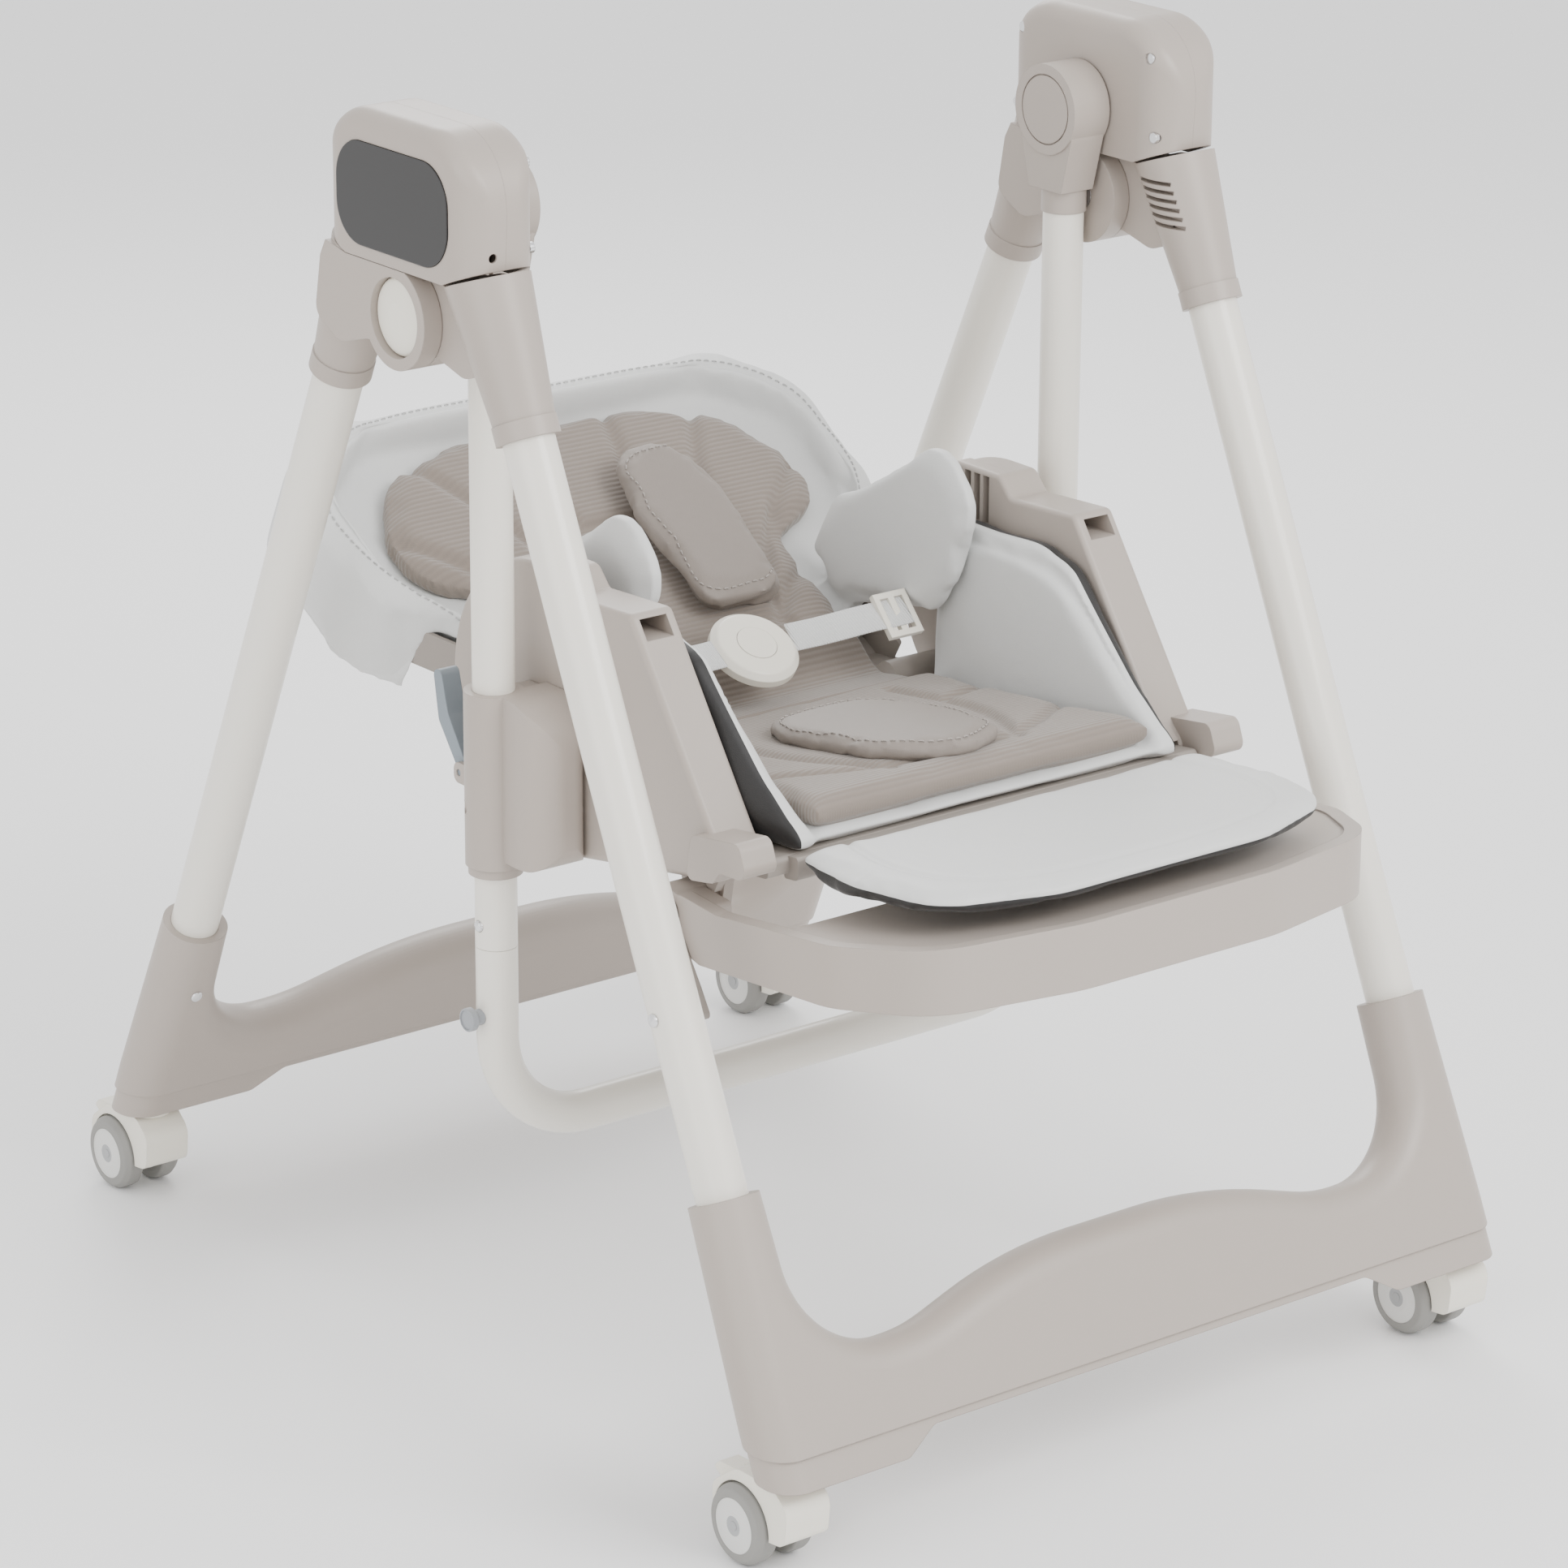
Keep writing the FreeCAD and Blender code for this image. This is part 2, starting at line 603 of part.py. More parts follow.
def u_tube():
    """Lower swing tube: two uprights and a cross bar bent from one tube, with plug-in ends."""
    x = D["swing_x"]
    z = D["bar_z"]
    r = D["bar_bend"]
    top = D["joint_z"]
    body = doc.addObject("PartDesign::Body", "u_body")
    path = body.newObject("Sketcher::SketchObject", "u_path")
    plane = [f for f in body.Origin.OriginFeatures if f.Role == "XZ_Plane"][0]
    path.AttachmentSupport = (plane, [""])
    path.MapMode = "FlatFace"
    k = r * math.sqrt(0.5)
    path.addGeometry([
        Part.LineSegment(Vector(-x, top, 0), Vector(-x, z + r, 0)),
        Part.Arc(Vector(-x, z + r, 0), Vector(-x + r - k, z + r - k, 0), Vector(-x + r, z, 0)),
        Part.LineSegment(Vector(-x + r, z, 0), Vector(x - r, z, 0)),
        Part.Arc(Vector(x - r, z, 0), Vector(x - r + k, z + r - k, 0), Vector(x, z + r, 0)),
        Part.LineSegment(Vector(x, z + r, 0), Vector(x, top, 0)),
    ], False)
    ring = body.newObject("Sketcher::SketchObject", "u_ring")
    level = [f for f in body.Origin.OriginFeatures if f.Role == "XY_Plane"][0]
    ring.AttachmentSupport = (level, [""])
    ring.MapMode = "FlatFace"
    ring.AttachmentOffset = Placement(Vector(0, 0, top), Rotation())
    outer_r = D["swing_dia"] / 2
    ring.addGeometry(Part.Circle(Vector(-x, 0, 0), Z, outer_r), False)
    ring.addGeometry(Part.Circle(Vector(-x, 0, 0), Z, outer_r - D["swing_wall"]), False)
    pipe = body.newObject("PartDesign::AdditivePipe", "u_pipe")
    pipe.Profile = ring
    pipe.Spine = (path, ["Edge1", "Edge2", "Edge3", "Edge4", "Edge5"])
    body.Tip = pipe
    path.Visibility = False
    ring.Visibility = False
    plugs = []
    for side in (-1, 1):
        slim = cylinder(outer_r - D["swing_wall"] - 0.05, 70.0, (side * x, 0, top - 30))
        root = cylinder(outer_r - 0.5, 29.0, (side * x, 0, top - 30))
        plugs.append(cut(fuse(slim, root), cylinder(12.5, 80.0, (side * x, 0, top - 35))))
    tube = fuse(body, *plugs)
    for side in (-1, 1):
        tube = cut(tube, cylinder(4.7, 20.0, (side * (x + 5), 0, top + 18), (side, 0, 0)),
                   cylinder(3.2, 30.0, (side * (x + 5), 0, 276.0), (side, 0, 0)))
    return tube


def snap_button(side):
    """Sprung button that locks the plug-in joint."""
    x = D["swing_x"]
    return turned([(0, 0, 0), (4.5, 0, 0), (4.5, 9.0, 0), (3.6, 11.2, 1.5), (0, 12.0, 0)],
                  (side * (x + 6.5), 0, D["joint_z"] + 18), (side, 0, 0))


def side_peg(side):
    """Grey peg on the outside of the lower swing tube."""
    x = D["swing_x"]
    peg = turned([(0, 0, 0), (3.1, 0, 0), (3.1, 7.0, 0), (6.2, 7.0, 0), (6.2, 12.6, 0),
                  (9.0, 15.0, 0), (9.0, 20.6, 1.0), (7.4, 20.6, 0), (7.4, 19.6, 0), (0, 19.6, 0)],
                 (side * (x + 8.0), 0, 276.0), (side, 0, 0))
    wall = cut(cylinder("dims.swing_dia / 2 + 0.05", 60.0, (side * x, 0, 246.0)),
               cylinder(3.15, 40.0, (side * x, 0, 276.0), (side, 0, 0)))
    return cut(peg, wall)


# ---------------------------------------------------------------- seat
def height_sleeve(side):
    """Clamp sleeve that slides on a swing tube and carries the seat's side."""
    x = side * D["swing_x"]
    barrel = cylinder(22.5, 135.0, (x, 0, 395.0))
    lip = cylinder(20.4, 8.0, (x, 0, 388.0))
    low, high = span(side, D["side_x"] + 0.6, 277.0)
    pod = common(slab_x([(-63, 402, 16), (-63, 512, 34), (-38, 530, 26), (-10, 530, 0),
                         (-10, 402, 0)], low - 5, high + 5),
                 slab_z([(side * 229.6, -63, 12), (side * 277.0, -63, 26), (side * 277.0, -8, 0),
                         (side * 229.6, -8, 0)], 390, 540))
    bridge = slab_x([(-14, 405, 0), (-14, 526, 0), (18, 526, 8), (18, 405, 8)],
                    *span(side, D["side_x"] + 0.6, 262.0))
    ears = []
    for a, b in ((257.0, 261.0), (279.0, 283.0)):
        e_low, e_high = span(side, a, b)
        ears.append(slab_x([(10, 452, 0), (34, 452, 6), (34, 468, 6), (10, 468, 0)], e_low, e_high))
    bore = cylinder("dims.swing_dia / 2 + 0.1", 200.0, (x, 0, 360.0))
    pins = cylinder(2.6, 60.0, (side * 240.0, 28.0, 460.0), (side, 0, 0))
    screw = cylinder(5.2, 12.0, (side * 287.0, 10.0, 440.0), (side, 0, 0))
    return cut(fuse(barrel, lip, pod, bridge, *ears), bore, pins, screw)


def height_lever(side):
    """Squeeze lever behind a sleeve that frees the seat's height."""
    paddle = slab_x([(26, 458, 2), (33, 456, 4), (60, 492, 10), (66, 528, 5), (57, 534, 5),
                     (48, 500, 14), (28, 470, 6)], *span(side, 262.0, 278.0))
    pin = cylinder(2.5, 24.0, (side * 258.0, 28.0, 460.0), (side, 0, 0))
    clear = cylinder(23.0, 200.0, (side * D["swing_x"], 0, 400.0))
    return cut(fuse(paddle, pin), clear)


def side_panel(side):
    """Side of the seat: round rear, armrest with a tray socket, and the leg rest's bracket."""
    outer = D["side_x"]
    inner = outer - D["arm_width"]
    r = D["disc_r"]
    z = D["disc_z"]
    arm = D["arm_z"]
    rim = r + 3.0
    profile = [(-238, 437, 14), (-212, 463, 10), (-112, arm + 1, 7), (-38, arm - 3, 6),
               (-24, arm + 12, 10), (rim, z + r, r - 0.5), (rim, z - r, r - 0.5), (-30, z - r, 60)]
    panel = slab_x(profile, *span(side, 204.5, outer))
    armrest = slab_x([(-223, 454, 0), (-212, 463, 10), (-112, arm + 1, 7), (-38, arm - 3, 6),
                      (-24, arm + 12, 10), (-8, arm + 12, 0), (34, arm + 12, 8), (40, 560, 10),
                      (-60, 560, 30), (-140, 474, 30), (-188, 454, 6)], *span(side, inner, 204.5))

    def rim_at(x):
        def keep(edge):
            box_ = edge.BoundBox
            return box_.XLength < 0.01 and abs(abs(box_.Center.x) - x) < 0.01
        return keep
    whole = fuse(rounded_edges(panel, rim_at(outer), [5.0, 3.0, 1.5]),
                 rounded_edges(armrest, rim_at(inner), [4.0, 2.5, 1.5]))
    slot = box((span(side, 198.0, 222.0)[0], -140, arm - 17), (span(side, 198.0, 222.0)[1], -62, arm - 3))
    whole = cut(whole, slot)
    for i in range(4):
        y = -12.0 + 11.0 * i
        rib = box((span(side, inner - 1, inner + 24)[0], y, 575), (span(side, inner - 1, inner + 24)[1],
                  y + 7.5, arm + 8))
        whole = cut(whole, rib)
    low, high = span(side, 208.0, outer + 8.0)
    cover = slab_x([(-262, 448, 8), (-252, 474, 8), (-196, 466, 8), (-190, 430, 6), (-222, 436, 5),
                    (-230, 446, 5)], low, high)
    bracket = slab_x([(-196, 432.4, 0), (-187, 388, 14), (-153, 384, 14), (-148, 427, 0)],
                     *span(side, 196.0, 204.6))
    brace = slab_x([(-196, 425, 0), (-190, 414, 4), (-154, 408, 4), (-148, 430, 0), (-172, 440, 0)],
                   *span(side, 204.5, 212.0))
    axle = cylinder(7.95, 44.0, (side * 200.0, D["rest_y"], D["rest_z"]), (side, 0, 0))
    hollow = cylinder(20.2, 60.0, (side * 203.3, D["rest_y"], D["rest_z"]), (side, 0, 0))
    pivot = cylinder(8.05, 60.0, (side * 180.0, D["back_y"], D["back_z"]), (side, 0, 0))
    return fuse(cut(fuse(whole, cover, bracket, brace), hollow, pivot), axle)


SEAT_TAN = math.tan(math.radians(D["seat_slope"]))


def seat_line(y, lift):
    """Height of the seat's sloping layers at y."""
    return 411.0 - (y - 0.0) * SEAT_TAN + lift


def layer(y_rear, y_front, low, high, r_front=4.0, r_rear=4.0):
    """Side view of one sloping layer of the seat."""
    return [(y_front, seat_line(y_front, low), r_front), (y_front, seat_line(y_front, high), r_front),
            (y_rear, seat_line(y_rear, high), r_rear), (y_rear, seat_line(y_rear, low), r_rear)]


def seat_base():
    """Moulded pan between the side panels."""
    pan = slab_x(layer(38, -244, 0.0, 14.0), -204.3, 204.3)
    lip = slab_x([(-254, seat_line(-254, -4), 4), (-238, seat_line(-238, -4), 2),
                  (-238, seat_line(-238, 13.5), 0), (-254, seat_line(-254, 13.5), 3)], -185, 185)
    ribs = [slab_x([(20, seat_line(20, 2), 0), (-150, seat_line(-150, 2), 0),
                    (-140, seat_line(-140, -16), 5), (10, seat_line(10, -16), 5)], x - 3, x + 3)
            for x in (-90, 0, 90)]
    return fuse(pan, lip, *ribs)


def seat_pad():
    """Grey pad: a flat base between two upright side bolsters."""
    base = slab_x(layer(34, -252, 14.4, 26.0, 5.0), -186, 186)
    sides = []
    for side in (-1, 1):
        sides.append(slab_x([(-254, seat_line(-254, 14.6), 4), (-254, seat_line(-254, 27), 4),
                             (-205, 505, 30), (-132, 578, 22), (-90, 590, 20), (20, 584, 16),
                             (34, 520, 20), (34, seat_line(34, 14.4), 0)],
                            *span(side, 166.0, 189.2)))
    return fuse(base, *sides)


def seat_cushion():
    """Ribbed inner cushion of the seat."""
    return slab_x(layer(24, -250, 26.5, 47.0, 9.0, 6.0), -163.5, 163.5)


def crotch_pad():
    """Egg shaped pad over the crotch strap, lying on the cushion."""
    plan = [(-60, -48, 30), (32, -46, 28), (62, -110, 60), (52, -205, 40), (-4, -232, 30),
            (-66, -190, 60), (-78, -90, 50)]
    column = slab_z(plan, 440, 560)
    return common(column, slab_x(layer(0, -260, 47.6, 61.0, 4.0, 4.0), -120, 120))


BUCKLE = Placement(Vector(-4, 34, 499), Rotation(X, 31))


def buckle_body():
    """Round harness buckle, hollow in the middle for its push button."""
    shell = turned([(16.4, -7, 0), (31, -7, 0), (36, -3, 0), (36, 3, 0), (31, 8, 4), (16.4, 9, 0)],
                   (0, 0, 0), (0, 0, 1))
    floor = cylinder(16.5, 3.0, (0, 0, -7))
    shell = fuse(shell, floor)
    shell.Placement = BUCKLE
    return shell


def buckle_button():
    """Push button in the middle of the buckle."""
    disc = cylinder(16.1, 10.5, (0, 0, -1.2))
    disc.Placement = BUCKLE.multiply(disc.Placement)
    return disc


def slider(side):
    """Ladder-lock slider on a waist strap."""
    frame = box((-16, -19, -2.5), (16, 19, 2.5))
    slots = [box((-11, -14, -4), (-3, 14, 4)), box((3, -14, -4), (11, 14, 4))]
    frame = cut(frame, *slots)
    frame.Placement = Placement(Vector(side * 124.0, 18, 508), Rotation(X, 48))
    return frame


def waist_strap(side):
    """Webbing from the buckle to the slider."""
    web = box((0, -12.5, -1.0), (70.0, 12.5, 1.0))
    if side > 0:
        web.Placement = Placement(Vector(34.5, 32, 503), Rotation(X, 42))
    else:
        web.Placement = Placement(Vector(-42.5 - 66.0, 30, 503), Rotation(X, 42))
    return web


# ---------------------------------------------------------------- back
BACK = Placement(Vector(0, D["back_y"], D["back_z"]), Rotation(X, D["back_slope"]))


def back_plan(inset, u_low, u_high):
    """Plan of the back in its own plane: waist within the armrests, wider towards the head."""
    half = [(184 - inset, u_low, 6), (184 - inset, 101, 30), (244 - inset, 168, 60),
            (250 - inset, u_high - 50, 60), (190 - inset, u_high, 60)]
    return half + [(-x, u, r) for x, u, r in reversed(half)]


def back_shell():
    """Moulded back with a raised rim, knuckles on the recline axis and a grip at the head."""
    length = D["back_len"]
    slab = slab_z(back_plan(6.0, 20, length - 6), -24, 10)
    hollow = slab_z(back_plan(10.0, 0, length - 10), -18, 20)
    tray = cut(slab, hollow)
    knuckles = []
    for side in (-1, 1):
        low, high = span(side, 150.0, 203.8)
        knuckles.append(cylinder(13.0, high - low, (low, 0, 0), (1, 0, 0)))
        knuckles.append(slab_x([(0, -13, 0), (40, -24, 4), (40, -18.5, 0), (0, 10, 6)],
                               *span(side, 150.0, 177.0)))
        knuckles.append(cylinder(7.95, 20.0, (side * 200.0, 0, 0), (side, 0, 0)))
    spine = slab_x([(60, -24, 0), (110, -38, 8), (240, -38, 8), (300, -24, 0), (300, -20, 0),
                    (60, -20, 0)], -34, 34)
    shell = fuse(tray, spine, *knuckles)
    well = slab_x([(150, -40, 3), (226, -40, 3), (226, -27, 3), (150, -27, 3)], -26, 26)
    shell = cut(shell, well)
    shell.Placement = BACK
    return shell


def recline_handle():
    """Squeeze handle under the back."""
    grip = slab_x([(154, -44, 3), (222, -44, 3), (222, -38.5, 2), (170, -33, 2), (154, -30, 2)],
                  -22, 22)
    grip.Placement = BACK
    return grip


def back_pad():
    """Grey pad over the back: wrapped over the shell's rim, with a skirt at each side."""
    length = D["back_len"]
    floor = slab_z(back_plan(12.0, 43, length - 12), -17.5, 4)
    rim = cut(slab_z(back_plan(-2.0, 60, length + 3), 10.5, 36),
              slab_z(back_plan(24.0, 0, length - 22), -60, 60))
    link = cut(slab_z(back_plan(12.0, 62, length - 12), 0, 20),
               slab_z(back_plan(26.0, 0, length - 24), -60, 60))
    skirt = cut(slab_z(back_plan(-8.0, 120, length + 8), -50, 30),
                slab_z(back_plan(-2.5, 0, length + 2.5), -80, 80),
                box((-400, -200, -100), (400, 128, 100)))
    wings = []
    for side in (-1, 1):
        wing = slab_x([(24, 44, 14), (-22, 88, 20), (-28, 130, 40), (-14, 200, 34), (50, 224, 40),
                       (96, 140, 40), (132, 80, 30), (132, 16, 0), (62, 12, 10)],
                      *span(side, 144.0, 160.0))
        wings.append(wing)
    pad_ = fuse(floor, rim, link, skirt, *wings)
    pad_.Placement = BACK
    return pad_


def back_cushion():
    """Ribbed inner cushion of the back."""
    half = [(126, 18, 14), (141, 60, 30), (143, 142, 12), (205, 178, 50), (205, 228, 70),
            (168, 292, 70), (80, 319, 90)]
    cushion = slab_z(half + [(-x, u, r) for x, u, r in reversed(half)], 4.6, 25)
    cushion.Placement = BACK
    return cushion


def shoulder_pads():
    """Two harness pads lying on the back cushion, one partly over the other."""
    pads = []
    for x, u, w, turn in ((37, 66, 43.0, -1), (50, 74, 27.0, -6)):
        one = slab_z([(-38, 0, 16), (38, 0, 22), (44, 110, 30), (26, 176, 26), (-26, 176, 26),
                      (-44, 110, 30)], 0, 14)
        one.Placement = BACK.multiply(Placement(Vector(x, u, w), Rotation(Z, turn)))
        pads.append(one)
    return group(*pads)


# ---------------------------------------------------------------- leg rest
def rest_hoop():
    """Curved foot band on two hinge barrels."""
    y = D["rest_y"]
    z = D["rest_z"]
    plan = [(240, y - 8, 0), (240, -360, 60), (205, -432, 60), (90, -458, 120), (-90, -458, 120),
            (-205, -432, 60), (-240, -360, 60), (-240, y - 8, 0)]
    inner = [(228, y + 20, 0), (228, -358, 52), (196, -421, 52), (88, -447, 110), (-88, -447, 110),
             (-196, -421, 52), (-228, -358, 52), (-228, y + 20, 0)]
    band = cut(slab_z(plan, 340, 480), slab_z(inner, 330, 490))
    view = slab_x([(y - 6, z - 22, 0), (y - 40, z - 30, 10), (-470, z - 6, 0), (-470, z + 44, 0),
                   (y - 60, z + 14, 10), (y - 16, z + 17, 0)], -260, 260)
    hoop = common(band, view)
    shelf = common(slab_z([(x, min(yy, -300), r) if yy > -300 else (x, yy, r)
                           for x, yy, r in plan], 340, 480),
                   slab_x([(-470, z + 41, 0), (-470, z + 36, 0), (-300, z + 17, 0),
                           (-300, z + 22, 0)], -260, 260))
    parts = [hoop, shelf]
    for side in (-1, 1):
        low, high = span(side, 203.8, 240.0)
        parts.append(cylinder(19.5, high - low, (low, y, z), (1, 0, 0)))
        parts.append(slab_x([(y - 4, z - 19, 0), (y - 44, z - 24, 4), (y - 44, z + 14, 4),
                             (y - 4, z + 17, 0)], *span(side, 214.0, 240.0)))
    hoop = fuse(*parts)
    for side in (-1, 1):
        hoop = cut(hoop, cylinder(8.0, 60.0, (side * 195.0, y, z), (side, 0, 0)))
        clear = cut(cylinder(15.0, 5.0, (side * 236.0, y, z), (side, 0, 0)),
                    cylinder(13.0, 6.0, (side * 235.0, y, z), (side, 0, 0)))
        hoop = cut(hoop, clear)
    return hoop


def calf_pad():
    """Flat padded flap on the leg rest, joined to the seat pad by a fold."""
    plan = [(193, -258, 6), (203, -330, 60), (188, -412, 46), (96, -446, 90), (-96, -446, 90),
            (-188, -412, 46), (-203, -330, 60), (-193, -258, 6)]
    z = D["rest_z"]
    return common(slab_z(plan, 380, 520),
                  slab_x([(-258, z + 49, 3), (-258, z + 60, 4), (-452, z + 68, 5), (-452, z + 56, 5),
                          (-300, z + 44, 10)], -260, 260))


def rest_lever():
    """Release lever of the leg rest, hanging outside the left hinge barrel."""
    y = D["rest_y"]
    z = D["rest_z"]
    low, high = span(-1, 240.6, 247.0)
    plate = slab_x([(y - 14, z + 12, 10), (y + 12, z + 12, 10), (y + 14, z - 10, 10),
                    (y - 28, z - 74, 4), (y - 56, z - 66, 4), (y - 44, z - 46, 8),
                    (y - 18, z - 8, 8)], low, high)
    return cut(plate, cylinder(8.05, 30.0, (-225, y, z), (-1, 0, 0)))


# ---------------------------------------------------------------- casters
def caster_parts(front, side):
    """Swivel hood, twin wheel and brake pedal of one caster."""
    x = side * D["leg_x"]
    y = -front * D["caster_y"]
    hub_y = y + D["trail"]
    r = D["wheel_r"]
    dome = slab_x([(y - 21, 30, 8), (y - 24, 58, 14), (y - 8, 71, 14), (y + 34, 71, 22),
                   (y + 62, 50, 14), (y + 61, 34, 5), (hub_y + 12, 24, 5), (y + 2, 27, 0)],
                  x - 19.5, x + 19.5)
    wheel_room = cylinder("dims.wheel_r + 1.6", 60.0, (x - 30, hub_y, r), (1, 0, 0))
    core = cylinder(11.0, 15.0, (x - 7.5, hub_y, r), (1, 0, 0))
    web = slab_x([(y - 12, 50, 0), (y - 4, 68, 0), (y + 40, 68, 0), (hub_y + 8, r, 0),
                  (hub_y - 8, r, 0)], x - 7.5, x + 7.5)
    stem = cylinder(6.0, 36.0, (x, y, 70.5))
    collar = cylinder(15.0, 3.0, (x, y, 69.6))
    hood = fuse(cut(dome, wheel_room), core, web, stem, collar)
    notch = box((x - 8.6, y + 40.5, 40), (x + 8.6, y + 80, 90))
    hood = cut(hood, notch)
    hood = cut(hood, cylinder(3.55, 60.0, (x - 30, hub_y, r), (1, 0, 0)),
               cylinder(2.45, 24.4, (x - 12.2, y + 50, 55), (1, 0, 0)))
    sides = []
    for s in (-1, 1):
        sides.append(turned([(3.5, 0, 0), (12, 0, 0), (12, 1.0, 0), (r - 6, 1.0, 0), (r - 1, 0.6, 2),
                             (r, 4, 3), (r, 13, 3), (r - 3, 17.5, 3), (r - 9, 18.4, 0),
                             (r - 10, 17.4, 0), (11, 18.6, 0), (3.5, 18.0, 0)],
                            (x + s * 8.2, hub_y, r), (s, 0, 0)))
    axle = cylinder(3.5, 53.0, (x - 26.5, hub_y, r), (1, 0, 0))
    wheels = fuse(axle, *sides)
    paddle = slab_x([(y + 42, 47, 3), (y + 45, 61, 4), (y + 68, 60, 3), (y + 74, 54, 2),
                     (y + 64, 47, 3)], x - 8.2, x + 8.2)
    pedal = fuse(paddle, cylinder(2.4, 24.0, (x - 12.0, y + 50, 55), (1, 0, 0)))
    return hood, wheels, pedal


# ---------------------------------------------------------------- sub-parts
for front, word in ((-1, "rear"), (1, "front")):
    node("%s_foot_beam" % word, foot_beam(front))
    node("%s_foot_base" % word, foot_base(front))
    node("%s_legs" % word, group(*both(lambda side: leg_tube(front, side))))
    node("%s_leg_screws" % word, leg_screws(front))

PAIRS = [("rear_hub", rear_hub), ("front_hub", front_hub), ("fold_button", fold_button),
         ("swing_hub", swing_hub), ("sleeve", height_sleeve), ("height_lever", height_lever),
         ("side_panel", side_panel)]
for word, make in PAIRS:
    mirror_node("left_" + word, node("right_" + word, make(1)))
for side, word in ((-1, "left"), (1, "right")):
    node("%s_head_outer" % word, head_shell(side, True))
    node("%s_head_inner" % word, head_shell(side, False))

node("head_screws", group(*(head_screws(-1) + head_screws(1))))
node("fold_pins", group(*both(fold_pin)))
face = -(D["leg_x"] - 1.0 + D["head_thick"] / 2)
node("display_panel", slab_x([(-68.7, 867.3, 29.7), (68.7, 867.3, 29.7), (68.7, 942.7, 29.7),
                              (-68.7, 942.7, 29.7)], face - 0.9, face + 1.1))
node("swing_tubes", group(*both(swing_tube)))
node("lower_u_tube", u_tube())
node("snap_buttons", group(*both(snap_button)))
node("side_pegs", group(*both(side_peg)))
node("seat_base", seat_base())
node("seat_pad", seat_pad())
node("seat_cushion", seat_cushion())
node("crotch_pad", crotch_pad())
node("buckle", group(buckle_body(), *both(slider)))
node("buckle_button", buckle_button())
node("waist_straps", group(*both(waist_strap)))
node("back_shell", back_shell())
node("back_pad", back_pad())
node("back_cushion", back_cushion())
node("shoulder_pads", shoulder_pads())
node("recline_handle", recline_handle())
node("rest_hoop", rest_hoop())
node("calf_pad", calf_pad())
node("rest_lever", rest_lever())
for front, row_word in ((1, "front"), (-1, "rear")):
    for side, side_word in ((-1, "left"), (1, "right")):
        hood, wheels, pedal = caster_parts(front, side)
        node("%s_%s_caster" % (row_word, side_word), hood)
        node("%s_%s_wheel" % (row_word, side_word), wheels)
        node("%s_%s_brake" % (row_word, side_word), pedal)

doc.recompute()

for obj in doc.Objects:
    if "Invalid" in obj.State or "Error" in obj.State:
        print("BAD STATE", obj.Name, obj.TypeId, obj.State, [o.Name for o in obj.OutList])

for name, obj in nodes:
    shape = obj.Shape
    if shape.isNull() or not shape.isValid() or shape.Volume <= 0:
        print("BAD SHAPE", name)
        continue
    shape.exportStep(os.path.join("parts", name + ".step"))

print("nodes", len(nodes))
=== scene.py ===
# %% [markdown]
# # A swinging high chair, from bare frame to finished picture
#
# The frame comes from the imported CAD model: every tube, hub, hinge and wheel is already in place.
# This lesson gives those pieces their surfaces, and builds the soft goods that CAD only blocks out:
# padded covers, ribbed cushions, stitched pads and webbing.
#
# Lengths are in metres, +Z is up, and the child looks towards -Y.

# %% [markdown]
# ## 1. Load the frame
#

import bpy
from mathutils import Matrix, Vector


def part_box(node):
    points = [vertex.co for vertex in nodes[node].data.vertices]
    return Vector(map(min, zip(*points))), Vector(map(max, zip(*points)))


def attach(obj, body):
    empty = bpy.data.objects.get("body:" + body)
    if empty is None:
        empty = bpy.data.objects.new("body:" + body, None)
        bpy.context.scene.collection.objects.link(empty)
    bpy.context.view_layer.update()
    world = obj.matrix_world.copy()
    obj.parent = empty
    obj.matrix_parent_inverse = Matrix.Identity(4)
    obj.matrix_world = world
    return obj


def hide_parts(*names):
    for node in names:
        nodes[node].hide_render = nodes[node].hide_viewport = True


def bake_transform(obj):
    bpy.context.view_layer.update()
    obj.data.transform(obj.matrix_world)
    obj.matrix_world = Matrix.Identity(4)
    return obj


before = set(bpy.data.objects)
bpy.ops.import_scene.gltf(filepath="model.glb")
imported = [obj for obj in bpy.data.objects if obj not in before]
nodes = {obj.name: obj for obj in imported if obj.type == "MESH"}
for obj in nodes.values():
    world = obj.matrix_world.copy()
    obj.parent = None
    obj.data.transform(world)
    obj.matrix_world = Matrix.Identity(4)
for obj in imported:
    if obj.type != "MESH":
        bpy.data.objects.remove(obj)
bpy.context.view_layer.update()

import math

import bpy
import numpy as np
from mathutils import Matrix, Vector
from mathutils.bvhtree import BVHTree

YC = -0.0174
print("pieces in the frame:", len(nodes))

# %% [markdown]
# ## 2. Small tools for meshes
#
# Shapes are worked out as whole numpy arrays, one row per point, and only then handed to Blender.
# The back of the chair has its own level: u runs up the back from the hinge, w stands square on it.

# %% Mesh tools
BACK_SLOPE = math.radians(30.0)
BACK_ORIGIN = np.array([0.0, 0.062 + YC, 0.440])
SEAT_SLOPE = math.tan(math.radians(6.4))


def back_to_world(points):
    """(x, u, w) to (x, y, z): y = y0 + u cos a - w sin a, z = z0 + u sin a + w cos a."""
    p = np.asarray(points, float)
    c, s = math.cos(BACK_SLOPE), math.sin(BACK_SLOPE)
    y = BACK_ORIGIN[1] + p[:, 1] * c - p[:, 2] * s
    z = BACK_ORIGIN[2] + p[:, 1] * s + p[:, 2] * c
    return np.stack([p[:, 0], y, z], axis=1)


